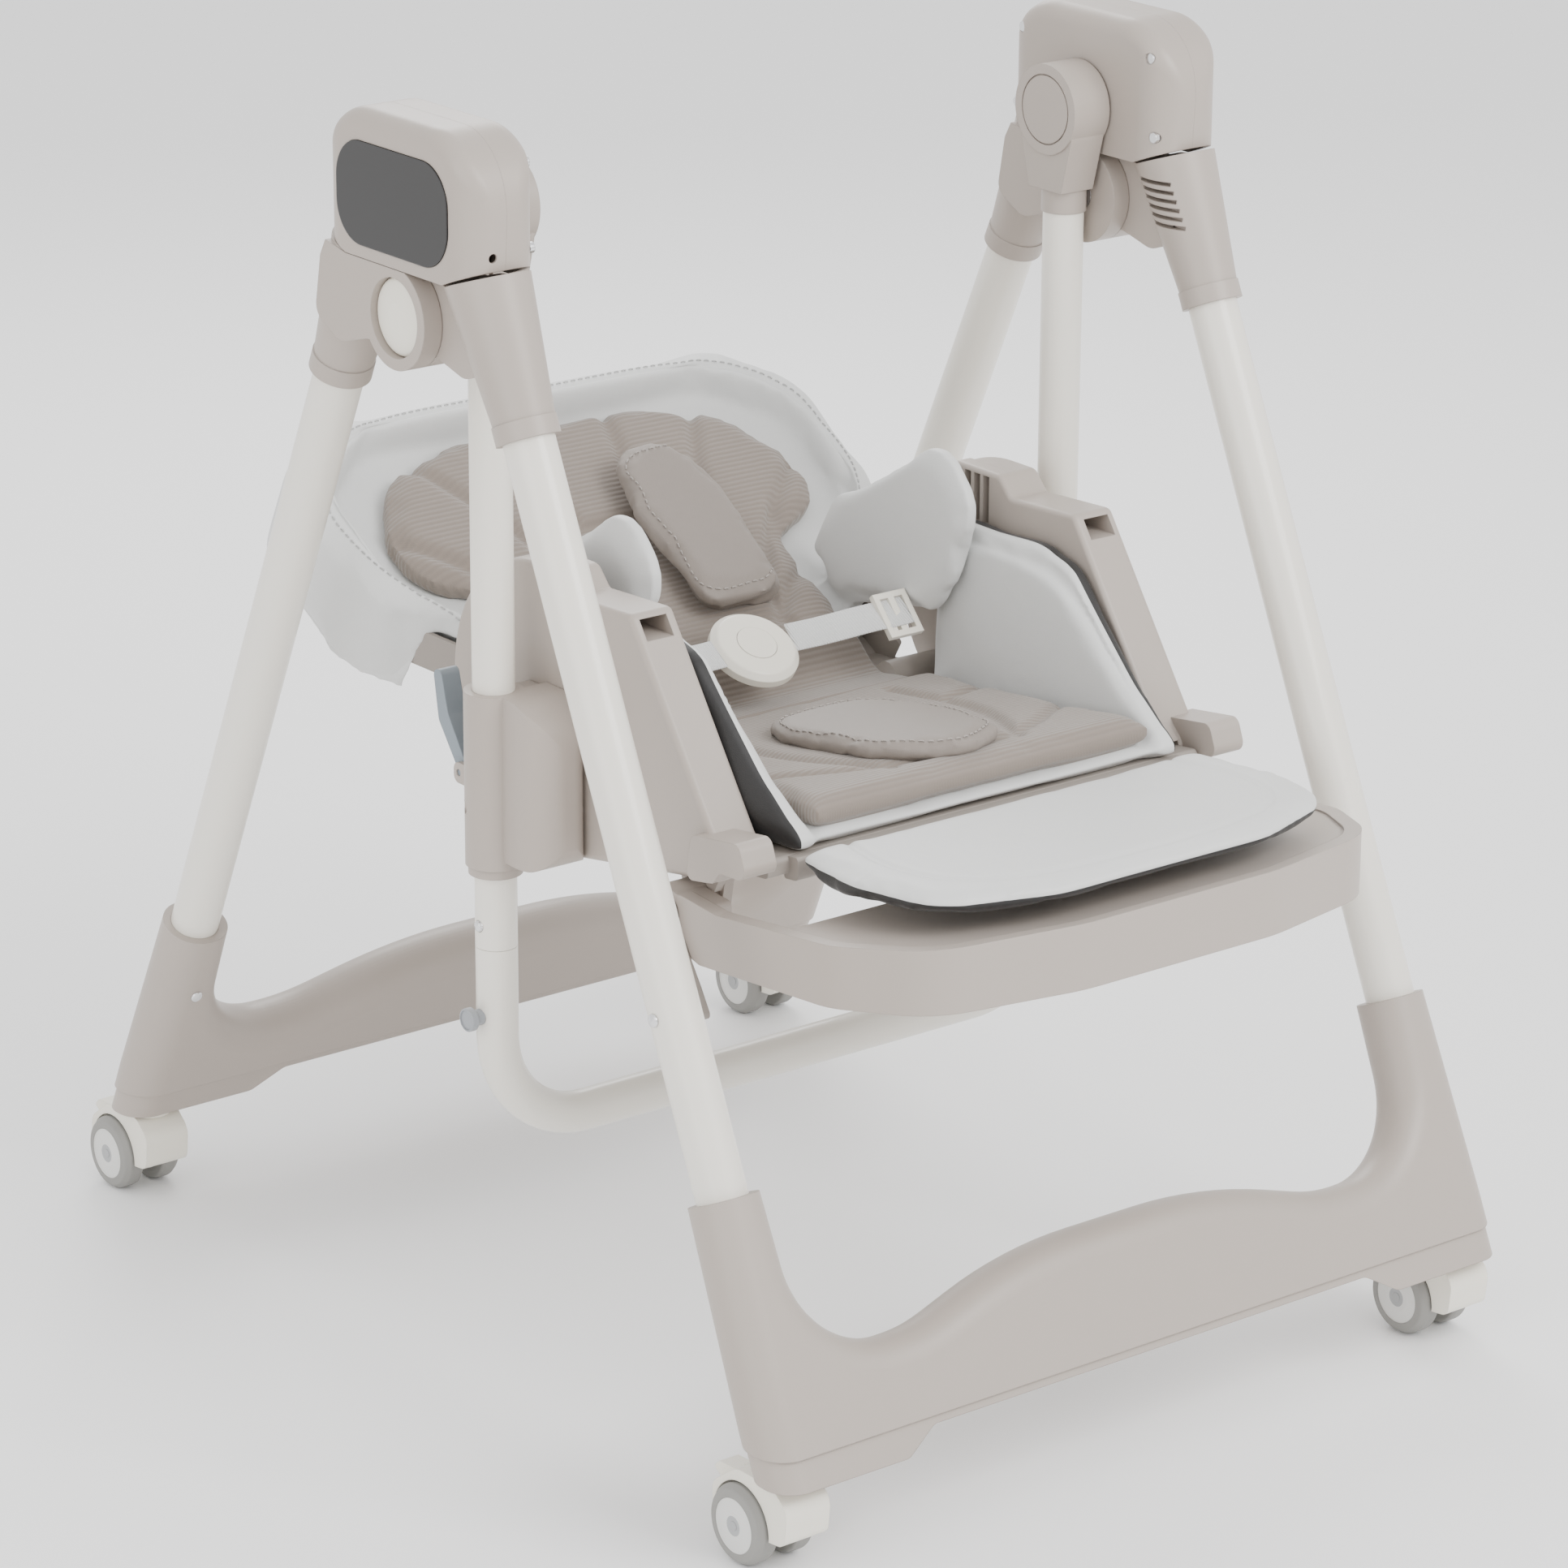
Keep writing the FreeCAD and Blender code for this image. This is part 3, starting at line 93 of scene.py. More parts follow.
def world_to_back(points):
    """(x, y, z) to (x, u, w), the reverse of back_to_world."""
    p = np.asarray(points, float)
    c, s = math.cos(BACK_SLOPE), math.sin(BACK_SLOPE)
    y, z = p[:, 1] - BACK_ORIGIN[1], p[:, 2] - BACK_ORIGIN[2]
    return np.stack([p[:, 0], y * c + z * s, -y * s + z * c], axis=1)


def seat_height(y, lift):
    """Height of the seat's layers: z = 0.411 - (y - y0) tan(slope) + lift."""
    return 0.411 - (np.asarray(y, float) - YC) * SEAT_SLOPE + lift


def new_mesh(name, points, faces, smooth=True):
    """A mesh object from an array of points and a list of faces."""
    mesh = bpy.data.meshes.new(name)
    mesh.from_pydata([tuple(p) for p in np.asarray(points, float)], [], faces)
    mesh.validate()
    mesh.polygons.foreach_set("use_smooth", np.full(len(mesh.polygons), smooth))
    obj = bpy.data.objects.new(name, mesh)
    bpy.context.scene.collection.objects.link(obj)
    return obj


def read_points(obj):
    """The object's vertices as an (n, 3) array."""
    flat = np.empty(len(obj.data.vertices) * 3)
    obj.data.vertices.foreach_get("co", flat)
    return flat.reshape(-1, 3)


def write_points(obj, points):
    """Put an (n, 3) array back into the object's vertices."""
    obj.data.vertices.foreach_set("co", np.asarray(points, float).ravel())
    obj.data.update()


def read_normals(obj):
    """The object's vertex normals as an (n, 3) array."""
    flat = np.empty(len(obj.data.vertices) * 3)
    obj.data.vertex_normals.foreach_get("vector", flat)
    return flat.reshape(-1, 3)


def resample(points, step, closed=False):
    """Points spaced evenly, about step apart, along the polyline through points."""
    p = np.asarray(points, float)
    if closed:
        p = np.vstack([p, p[:1]])
    length = np.concatenate([[0], np.cumsum(np.linalg.norm(np.diff(p, axis=0), axis=1))])
    count = max(int(round(length[-1] / step)), 3)
    at = np.linspace(0, length[-1], count + 1)
    out = np.stack([np.interp(at, length, p[:, k]) for k in range(p.shape[1])], axis=1)
    return out[:-1] if closed else out


def smooth_line(points, closed=False, rounds=3):
    """Cut the corners of a polyline: each round keeps the 1/4 and 3/4 points of every side."""
    p = np.asarray(points, float)
    for _ in range(rounds):
        q = np.roll(p, -1, axis=0) if closed else p[1:]
        a = p if closed else p[:-1]
        mixed = np.empty((2 * len(a), p.shape[1]))
        mixed[0::2] = 0.75 * a + 0.25 * q
        mixed[1::2] = 0.25 * a + 0.75 * q
        p = mixed if closed else np.vstack([p[:1], mixed, p[-1:]])
    return p


def frames_along(path, closed, up):
    """Unit tangents, sides and ups along a path: side = tangent x up, up = side x tangent."""
    ahead = np.roll(path, -1, axis=0) - np.roll(path, 1, axis=0)
    if not closed:
        ahead[0], ahead[-1] = path[1] - path[0], path[-1] - path[-2]
    t = ahead / np.linalg.norm(ahead, axis=1, keepdims=True)
    ups = np.broadcast_to(np.asarray(up, float), path.shape)
    side = np.cross(t, ups)
    side /= np.maximum(np.linalg.norm(side, axis=1, keepdims=True), 1e-9)
    return t, side, np.cross(side, t)


def loft(name, path, section, up=(0, 0, 1), closed=False):
    """A section of (side, up) points carried along a path and closed at both ends."""
    t, side, over = frames_along(path, closed, up)
    ring = np.asarray(section, float)
    n, m = len(path), len(ring)
    points = (path[:, None, :] + side[:, None, :] * ring[None, :, :1]
              + over[:, None, :] * ring[None, :, 1:2]).reshape(-1, 3)
    faces = []
    for i in range(n if closed else n - 1):
        a, b = i * m, ((i + 1) % n) * m
        faces += [(a + k, a + (k + 1) % m, b + (k + 1) % m, b + k) for k in range(m)]
    if not closed:
        faces += [tuple(range(m))[::-1], tuple(range((n - 1) * m, n * m))]
    return new_mesh(name, points, faces)


def circle(radius, count=10):
    """Points round a circle."""
    a = np.linspace(0, 2 * math.pi, count, endpoint=False)
    return np.stack([np.cos(a), np.sin(a)], axis=1) * radius


def pipe(name, path, radius, closed=False, up=(0, 0, 1), count=10):
    """A round tube along a path."""
    return loft(name, np.asarray(path, float), circle(radius, count), up, closed)


def join(name, objects):
    """Several meshes as one object."""
    points, faces, base = [], [], 0
    for obj in objects:
        p = read_points(obj)
        points.append(p)
        faces += [tuple(base + i for i in poly.vertices) for poly in obj.data.polygons]
        base += len(p)
        bpy.data.objects.remove(obj)
    return new_mesh(name, np.vstack(points), faces)


def stitches(name, path, length=0.0042, gap=0.0030, radius=0.0006, closed=False, up=(0, 0, 1)):
    """A row of thread stitches: short pipes of that length with that gap, bowed into the cloth."""
    line = resample(path, 0.001, closed)
    every = int(round((length + gap) * 1000))
    keep = int(round(length * 1000))
    made = []
    for start in range(0, len(line) - keep, every):
        piece = line[start:start + keep + 1]
        bow = np.sin(np.linspace(0, math.pi, len(piece)))[:, None] * np.asarray(up) * radius
        made.append(pipe("stitch", piece + bow, radius, up=up, count=6))
    return join(name, made)


def distance_to_line(points, line):
    """Shortest distance from each 2-D point to a polyline: |p - (a + t (b - a))|, t kept in 0..1."""
    p = np.asarray(points, float)[:, None, :]
    a, b = np.asarray(line[:-1], float)[None], np.asarray(line[1:], float)[None]
    ab = b - a
    t = np.clip(((p - a) * ab).sum(2) / np.maximum((ab ** 2).sum(2), 1e-12), 0, 1)
    return np.linalg.norm(p - (a + t[..., None] * ab), axis=2).min(axis=1)


# %% [markdown]
# ## 3. Surfaces
#
# Effects that several materials share are node groups with named sockets. Each gives only what
# changes over the surface: a mask, a value or a normal. The plain numbers, such as a base roughness,
# are set on each material itself.

# %% Node groups
def group_tree(name, inputs, outputs):
    """An empty shader group with named sockets, its input and output nodes placed."""
    tree = bpy.data.node_groups.new(name, "ShaderNodeTree")
    for label, kind, default in inputs:
        socket = tree.interface.new_socket(label, in_out="INPUT", socket_type=kind)
        if default is not None:
            socket.default_value = default
    for label, kind in outputs:
        tree.interface.new_socket(label, in_out="OUTPUT", socket_type=kind)
    return tree, tree.nodes.new("NodeGroupInput"), tree.nodes.new("NodeGroupOutput")


def value_math(tree, operation, a, b=None, clamp=False):
    """A math node fed by sockets or numbers."""
    node = tree.nodes.new("ShaderNodeMath")
    node.operation = operation
    node.use_clamp = clamp
    for index, item in enumerate((a, b)):
        if item is None:
            continue
        if isinstance(item, (int, float)):
            node.inputs[index].default_value = item
        else:
            tree.links.new(item, node.inputs[index])
    return node.outputs[0]


def object_place(tree):
    """The point's place in the object's own coordinates."""
    return tree.nodes.new("ShaderNodeTexCoord").outputs["Object"]


def noise(tree, place, scale, detail=2.0, rough=0.5):
    """A noise value at a place."""
    node = tree.nodes.new("ShaderNodeTexNoise")
    node.inputs["Detail"].default_value = detail
    node.inputs["Roughness"].default_value = rough
    if isinstance(scale, (int, float)):
        node.inputs["Scale"].default_value = scale
    else:
        tree.links.new(scale, node.inputs["Scale"])
    tree.links.new(place, node.inputs["Vector"])
    return node.outputs["Fac"]


def bump(tree, height, strength, distance, normal=None):
    """A normal tilted by a height."""
    node = tree.nodes.new("ShaderNodeBump")
    for label, item in (("Strength", strength), ("Distance", distance)):
        if isinstance(item, (int, float)):
            node.inputs[label].default_value = item
        else:
            tree.links.new(item, node.inputs[label])
    tree.links.new(height, node.inputs["Height"])
    if normal is not None:
        tree.links.new(normal, node.inputs["Normal"])
    return node.outputs["Normal"]


def make_moulded():
    """Moulded plastic: a fine spark texture, slow blotches in the gloss, and softened edges."""
    tree, given, made = group_tree(
        "Moulded grain",
        [("Grain scale", "NodeSocketFloat", 1800.0), ("Grain depth", "NodeSocketFloat", 0.25),
         ("Edge radius", "NodeSocketFloat", 0.0012)],
        [("Normal", "NodeSocketVector"), ("Gloss shift", "NodeSocketFloat"),
         ("Edge", "NodeSocketFloat")])
    place = object_place(tree)
    soft = tree.nodes.new("ShaderNodeBevel")
    soft.samples = 4
    tree.links.new(given.outputs["Edge radius"], soft.inputs["Radius"])
    fine = noise(tree, place, given.outputs["Grain scale"], 1.0)
    tree.links.new(bump(tree, fine, given.outputs["Grain depth"], 0.00012, soft.outputs["Normal"]),
                   made.inputs["Normal"])
    slow = noise(tree, place, 9.0, 4.0)
    shift = value_math(tree, "MULTIPLY", value_math(tree, "SUBTRACT", slow, 0.5), 0.12)
    tree.links.new(shift, made.inputs["Gloss shift"])
    geometry = tree.nodes.new("ShaderNodeNewGeometry")
    dot = tree.nodes.new("ShaderNodeVectorMath")
    dot.operation = "DOT_PRODUCT"
    tree.links.new(soft.outputs["Normal"], dot.inputs[0])
    tree.links.new(geometry.outputs["Normal"], dot.inputs[1])
    edge = value_math(tree, "MULTIPLY", value_math(tree, "SUBTRACT", 1.0, dot.outputs["Value"]), 4.0, True)
    tree.links.new(edge, made.inputs["Edge"])
    return tree


def make_weave():
    """Ribbed cloth: ribs across one direction, and a plain weave of two crossed waves on top."""
    tree, given, made = group_tree(
        "Ribbed weave",
        [("Rib spacing", "NodeSocketFloat", 0.0042), ("Rib depth", "NodeSocketFloat", 0.6),
         ("Thread spacing", "NodeSocketFloat", 0.0011), ("Along", "NodeSocketVector", None)],
        [("Normal", "NodeSocketVector"), ("Shade", "NodeSocketFloat")])
    place = object_place(tree)
    wobble = noise(tree, place, 60.0, 2.0)
    split = tree.nodes.new("ShaderNodeSeparateXYZ")
    tree.links.new(place, split.inputs[0])
    run = tree.nodes.new("ShaderNodeVectorMath")
    run.operation = "DOT_PRODUCT"
    tree.links.new(place, run.inputs[0])
    tree.links.new(given.outputs["Along"], run.inputs[1])

    def wave(position, spacing):
        turns = value_math(tree, "DIVIDE", position, spacing)
        angle = value_math(tree, "MULTIPLY", turns, 2 * math.pi)
        return value_math(tree, "SINE", value_math(tree, "ADD", angle, wobble))
    ribs = wave(run.outputs["Value"], given.outputs["Rib spacing"])
    threads = value_math(tree, "MULTIPLY", wave(split.outputs["X"], given.outputs["Thread spacing"]),
                         wave(split.outputs["Y"], given.outputs["Thread spacing"]))
    first = bump(tree, ribs, given.outputs["Rib depth"], 0.0004)
    tree.links.new(bump(tree, threads, 0.45, 0.0002, first), made.inputs["Normal"])
    blotch = noise(tree, place, 35.0, 3.0)
    # The shade is partly painted shade: its ribs term darkens the colour in each rib's valley, and its
    # blotch term is random tone.
    shade = value_math(tree, "ADD", value_math(tree, "MULTIPLY", ribs, 0.06),
                       value_math(tree, "MULTIPLY", blotch, 0.16))
    tree.links.new(shade, made.inputs["Shade"])
    return tree


def make_hide():
    """Coated cloth: a net of tiny pebbles with soft larger creases."""
    tree, given, made = group_tree(
        "Coated cloth",
        [("Pebble scale", "NodeSocketFloat", 900.0), ("Pebble depth", "NodeSocketFloat", 0.35)],
        [("Normal", "NodeSocketVector"), ("Shade", "NodeSocketFloat")])
    place = object_place(tree)
    cells = tree.nodes.new("ShaderNodeTexVoronoi")
    cells.feature = "DISTANCE_TO_EDGE"
    tree.links.new(given.outputs["Pebble scale"], cells.inputs["Scale"])
    tree.links.new(place, cells.inputs["Vector"])
    pebble = value_math(tree, "MINIMUM", cells.outputs["Distance"], 0.25)
    creases = noise(tree, place, 28.0, 3.0)
    first = bump(tree, creases, 0.22, 0.004)
    tree.links.new(bump(tree, pebble, given.outputs["Pebble depth"], 0.0006, first),
                   made.inputs["Normal"])
    tree.links.new(noise(tree, place, 6.0, 3.0), made.inputs["Shade"])
    return tree


def make_dust():
    """A little dust: more on faces that look up, broken up by noise."""
    tree, given, made = group_tree(
        "Dust", [("Amount", "NodeSocketFloat", 0.1)], [("Mask", "NodeSocketFloat")])
    geometry = tree.nodes.new("ShaderNodeNewGeometry")
    split = tree.nodes.new("ShaderNodeSeparateXYZ")
    tree.links.new(geometry.outputs["Normal"], split.inputs[0])
    patches = noise(tree, object_place(tree), 45.0, 5.0, 0.65)
    up = value_math(tree, "MULTIPLY", value_math(tree, "MAXIMUM", split.outputs["Z"], 0.0), patches)
    tree.links.new(value_math(tree, "MULTIPLY", up, given.outputs["Amount"], True), made.inputs["Mask"])
    return tree


MOULDED, WEAVE, HIDE, DUST = make_moulded(), make_weave(), make_hide(), make_dust()

# %% [markdown]
# A material is a Principled surface, a base colour that the masks vary a little, and one of the
# groups above for its normal.

# %% Materials
def mix(tree, mask, first, second):
    """Blend two colours, each a socket or a plain colour, by a mask."""
    node = tree.nodes.new("ShaderNodeMix")
    node.data_type = "RGBA"
    tree.links.new(mask, node.inputs["Factor"])
    sockets = [s for s in node.inputs if s.type == "RGBA"]
    for socket, item in zip(sockets, (first, second)):
        if isinstance(item, (tuple, list)):
            socket.default_value = (*item[:3], 1.0)
        else:
            tree.links.new(item, socket)
    return [s for s in node.outputs if s.type == "RGBA"][0]


def place_group(tree, group, **values):
    """Put a group into a material and set its plain inputs."""
    node = tree.nodes.new("ShaderNodeGroup")
    node.node_tree = group
    for label, item in values.items():
        node.inputs[label.replace("_", " ")].default_value = item
    return node


def blank(name, rough, metallic=0.0, coat=0.0, sheen=0.0, specular=0.5):
    """A new material and its Principled node with the plain numbers set."""
    material = bpy.data.materials.new(name)
    material.use_nodes = True
    shader = material.node_tree.nodes["Principled BSDF"]
    shader.inputs["Roughness"].default_value = rough
    shader.inputs["Metallic"].default_value = metallic
    shader.inputs["Coat Weight"].default_value = coat
    shader.inputs["Sheen Weight"].default_value = sheen
    shader.inputs["Specular IOR Level"].default_value = specular
    return material, shader


def moulded(name, colour, rough=0.42, grain=0.25, coat=0.0, metallic=0.0, scale=1800.0, dust=0.08,
            edge=0.0012):
    """Moulded plastic or powder coat."""
    material, shader = blank(name, rough, metallic, coat)
    tree = material.node_tree
    grain_node = place_group(tree, MOULDED, Grain_scale=scale, Grain_depth=grain, Edge_radius=edge)
    dust_node = place_group(tree, DUST, Amount=dust)
    lighter = tuple(min(c * 1.12 + 0.01, 1.0) for c in colour)
    worn = mix(tree, grain_node.outputs["Edge"], colour, lighter)
    dusty = mix(tree, dust_node.outputs["Mask"], worn, (0.62, 0.60, 0.57))
    tree.links.new(dusty, shader.inputs["Base Color"])
    level = value_math(tree, "ADD", grain_node.outputs["Gloss shift"], rough, True)
    tree.links.new(level, shader.inputs["Roughness"])
    tree.links.new(grain_node.outputs["Normal"], shader.inputs["Normal"])
    return material


def cloth(name, colour, along=(0, 1, 0), spacing=0.0042, depth=0.6, thread=0.0011):
    """Ribbed upholstery cloth."""
    material, shader = blank(name, 0.85, sheen=0.35, specular=0.25)
    tree = material.node_tree
    weave = place_group(tree, WEAVE, Rib_spacing=spacing, Rib_depth=depth, Thread_spacing=thread,
                        Along=along)
    darker = tuple(c * 0.62 for c in colour)
    lighter = tuple(min(c * 1.1, 1.0) for c in colour)
    # The colour is darker in the rib valleys, a painted shade, and also varies in random blotches of tone.
    tree.links.new(mix(tree, value_math(tree, "ADD", weave.outputs["Shade"], 0.45, True),
                       darker, lighter), shader.inputs["Base Color"])
    tree.links.new(weave.outputs["Normal"], shader.inputs["Normal"])
    return material


def hide(name, colour, rough=0.5, pebble=900.0, depth=0.35, sheen=0.1):
    """Soft coated cloth."""
    material, shader = blank(name, rough, sheen=sheen, specular=0.4)
    tree = material.node_tree
    coated = place_group(tree, HIDE, Pebble_scale=pebble, Pebble_depth=depth)
    darker = tuple(c * 0.93 for c in colour)
    tree.links.new(mix(tree, coated.outputs["Shade"], darker, colour), shader.inputs["Base Color"])
    tree.links.new(coated.outputs["Normal"], shader.inputs["Normal"])
    return material


def lined_hide(name, colour, lining, make_mask, rough=0.48):
    """Soft coated cloth that turns into another colour where make_mask gives 1."""
    material, shader = blank(name, rough, sheen=0.1, specular=0.4)
    tree = material.node_tree
    coated = place_group(tree, HIDE, Pebble_scale=900.0, Pebble_depth=0.35)
    split = tree.nodes.new("ShaderNodeSeparateXYZ")
    tree.links.new(object_place(tree), split.inputs[0])
    mask = make_mask(tree, split.outputs)
    darker = tuple(c * 0.93 for c in colour)
    face = mix(tree, coated.outputs["Shade"], darker, colour)
    tree.links.new(mix(tree, mask, face, lining), shader.inputs["Base Color"])
    tree.links.new(coated.outputs["Normal"], shader.inputs["Normal"])
    return material


def outer_walls(tree, place):
    """1 where |x| passes WALL_FACE, the outer face of the seat walls."""
    return value_math(tree, "GREATER_THAN", value_math(tree, "ABSOLUTE", place["X"]), WALL_FACE)


def lower_half(tree, place):
    """1 below the calf pad's seam, the plane z = CALF_SEAM - CALF_RISE y."""
    seam = value_math(tree, "ADD", value_math(tree, "MULTIPLY", place["Y"], -CALF_RISE), CALF_SEAM)
    return value_math(tree, "LESS_THAN", value_math(tree, "SUBTRACT", place["Z"], seam), 0.0)


WALL_FACE = 0.1772
CALF_RISE = 0.041
calf_low, calf_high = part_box("calf_pad")
CALF_SEAM = calf_high[2] - 0.0070 + CALF_RISE * calf_low[1]
LINING = (0.016, 0.015, 0.015)
TAUPE = moulded("taupe plastic", (0.385, 0.335, 0.295), rough=0.40, grain=0.35)
TAUPE_DARK = moulded("taupe plastic, inner", (0.30, 0.265, 0.235), rough=0.5, grain=0.4)
IVORY_PAINT = moulded("ivory powder coat", (0.80, 0.765, 0.69), rough=0.30, grain=0.10, coat=0.25,
                      scale=700.0, edge=0.0006)
IVORY = moulded("ivory plastic", (0.80, 0.765, 0.67), rough=0.33, grain=0.12)
SLATE = moulded("slate plastic", (0.20, 0.235, 0.265), rough=0.42, grain=0.3)
GREY_PEG = moulded("grey plastic", (0.30, 0.315, 0.335), rough=0.4, grain=0.2)
CHROME = moulded("polished steel", (0.75, 0.75, 0.76), rough=0.16, grain=0.05, metallic=1.0, dust=0.02)
GLASSY = moulded("display face", (0.016, 0.015, 0.015), rough=0.30, grain=0.0, coat=0.0, dust=0.0)
PALE = hide("pale coated cloth", (0.66, 0.665, 0.655), rough=0.48)
RIBBED = cloth("taupe ribbed cloth", (0.265, 0.222, 0.188), along=(0, 1, 0))
TAUPE_PAD = hide("taupe coated cloth", (0.240, 0.206, 0.180), rough=0.52, depth=0.5)
PALE_LINED = lined_hide("pale coated cloth, lined", (0.66, 0.665, 0.655), LINING, outer_walls)
PALE_LINED_BELOW = lined_hide("pale coated cloth, lined below", (0.66, 0.665, 0.655), LINING,
                              lower_half)
THREAD = cloth("thread", (0.42, 0.38, 0.345), spacing=0.001, depth=0.3)
PALE_THREAD = cloth("pale thread", (0.52, 0.52, 0.51), spacing=0.001, depth=0.3)
WEBBING = cloth("white webbing", (0.78, 0.78, 0.77), along=(1, 0.2, 0), spacing=0.0022, depth=0.8)


def wheel_material(name, centre_y, centre_z):
    """Twin wheel: grey hub dot, pale disc and grey tyre, by distance from the axle line.

    r = sqrt((y - y0)^2 + (z - z0)^2), split at 7.5 and 20.5 mm.
    """
    material, shader = blank(name, 0.45, specular=0.4)
    tree = material.node_tree
    split = tree.nodes.new("ShaderNodeSeparateXYZ")
    tree.links.new(object_place(tree), split.inputs[0])
    dy = value_math(tree, "SUBTRACT", split.outputs["Y"], centre_y)
    dz = value_math(tree, "SUBTRACT", split.outputs["Z"], centre_z)
    r = value_math(tree, "SQRT", value_math(tree, "ADD", value_math(tree, "MULTIPLY", dy, dy),
                                            value_math(tree, "MULTIPLY", dz, dz)))
    dot = value_math(tree, "LESS_THAN", r, 0.0075)
    disc = value_math(tree, "LESS_THAN", r, 0.0205)
    body = mix(tree, disc, (0.255, 0.25, 0.235), (0.66, 0.655, 0.63))
    tree.links.new(mix(tree, dot, body, (0.36, 0.365, 0.37)), shader.inputs["Base Color"])
    tree.links.new(value_math(tree, "ADD", value_math(tree, "MULTIPLY", disc, -0.22), 0.58, True),
                   shader.inputs["Roughness"])
    grain_node = place_group(tree, MOULDED, Grain_scale=1200.0, Grain_depth=0.15, Edge_radius=0.0008)
    tree.links.new(grain_node.outputs["Normal"], shader.inputs["Normal"])
    return material


# %% [markdown]
# ## 4. Paint the frame
#
# Each CAD piece takes one material. The meshes themselves stay as they are.

# %% Paint
def paint(obj, *materials):
    """Give an object its material."""
    obj.data.materials.clear()
    for material in materials:
        obj.data.materials.append(material)


PAINT = {
    "rear_legs": IVORY_PAINT, "front_legs": IVORY_PAINT, "swing_tubes": IVORY_PAINT,
    "lower_u_tube": IVORY_PAINT, "rear_leg_screws": CHROME, "front_leg_screws": CHROME,
    "head_screws": CHROME, "fold_pins": CHROME, "snap_buttons": CHROME, "display_panel": GLASSY,
    "left_fold_button": IVORY, "right_fold_button": IVORY, "buckle": IVORY, "buckle_button": IVORY,
    "left_height_lever": SLATE, "right_height_lever": SLATE, "side_pegs": GREY_PEG,
    "rest_lever": TAUPE_DARK, "recline_handle": SLATE, "seat_base": TAUPE_DARK,
    "back_shell": TAUPE_DARK,
}
for name, node in nodes.items():
    if name.endswith("_wheel"):
        low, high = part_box(name)
        centre = (Vector(low) + Vector(high)) / 2
        paint(node, wheel_material(name + " finish", centre.y, centre.z))
    elif name.endswith("_caster") or name.endswith("_brake"):
        paint(node, IVORY)
    else:
        paint(node, PAINT.get(name, TAUPE))
print("painted:", len(nodes))

# %% [markdown]
# ## 5. Soft goods
#
# Each soft piece starts from its CAD solid. The solid is remeshed into even cells, drawn in a little,
# and blown up with a short cloth simulation, so that it crowns in the middle and its edges pull
# round. A cap stops any point from moving far. Seams and channels are pressed in afterwards.

# %% Puffing
def soft_copy(node_name, name, voxel):
    """A remeshed copy of a CAD node."""
    source = nodes[node_name]
    obj = source.copy()
    obj.data = source.data.copy()
    obj.name = name
    obj.parent = None
    for key in list(obj.keys()):
        del obj[key]
    bpy.context.scene.collection.objects.link(obj)
    obj.hide_render = False
    remesh = obj.modifiers.new("remesh", "REMESH")
    remesh.mode = "VOXEL"
    remesh.voxel_size = voxel
    return bake(obj)


def bake(obj):
    """Replace an object's mesh by what its modifiers make of it."""
    graph = bpy.context.evaluated_depsgraph_get()
    mesh = bpy.data.meshes.new_from_object(obj.evaluated_get(graph))
    obj.modifiers.clear()
    old = obj.data
    obj.data = mesh
    bpy.data.meshes.remove(old)
    mesh.polygons.foreach_set("use_smooth", np.ones(len(mesh.polygons), bool))
    return obj


def relax(obj, rounds=4, amount=0.5):
    """Even the surface out: every point moves towards the mean of its neighbours."""
    edges = np.empty(len(obj.data.edges) * 2, int)
    obj.data.edges.foreach_get("vertices", edges)
    a, b = edges.reshape(-1, 2).T
    points = read_points(obj)
    count = np.bincount(np.concatenate([a, b]), minlength=len(points))[:, None]
    for _ in range(rounds):
        total = np.zeros_like(points)
        for k in range(3):
            total[:, k] = (np.bincount(a, points[b, k], len(points))
                           + np.bincount(b, points[a, k], len(points)))
        points += amount * (total / np.maximum(count, 1) - points)
    write_points(obj, points)


def puff(node_name, name, voxel=0.005, pressure=4.0, cap=0.005, draw_in=0.0025, rounds=4):
    """A padded copy of a CAD node: drawn in by draw_in, then swollen by at most cap."""
    obj = soft_copy(node_name, name, voxel)
    relax(obj, rounds)
    rest = read_points(obj) - read_normals(obj) * draw_in
    write_points(obj, rest)
    modifier = obj.modifiers.new("cloth", "CLOTH")
    settings = modifier.settings
    settings.use_pressure = True
    settings.uniform_pressure_force = pressure
    settings.mass = 0.3
    settings.tension_stiffness = 12
    settings.compression_stiffness = 12
    settings.bending_stiffness = 2.0
    settings.effector_weights.gravity = 0
    modifier.point_cache.frame_start = 1
    modifier.point_cache.frame_end = 20
    for step in range(1, 21):
        bpy.context.scene.frame_set(step)
    bake(obj)
    bpy.context.scene.frame_set(1)
    move = read_points(obj) - rest
    far = np.linalg.norm(move, axis=1, keepdims=True)
    write_points(obj, rest + move * np.minimum(1.0, cap / np.maximum(far, 1e-9)))
    relax(obj, 2)
    return obj


def press(obj, depth, only=None):
    """Move each point inwards along its normal by its own depth."""
    points, normals = read_points(obj), read_normals(obj)
    if only is not None:
        depth = depth * only
    write_points(obj, points - normals * np.asarray(depth)[:, None])


def finer(obj):
    """One level of subdivision, kept in the mesh."""
    obj.modifiers.new("finer", "SUBSURF").levels = 1
    return bake(obj)


def groove(distance, width):
    """A smooth valley across a seam: exp(-(d / width)^2)."""
    return np.exp(-(distance / width) ** 2)


# %% [markdown]
# ### Lines laid on a surface
#
# A seam or a row of stitches follows the cloth it is sewn into. Its line is drawn flat first and then
# dropped on the piece, so that it keeps to the surface however much the padding has swollen.

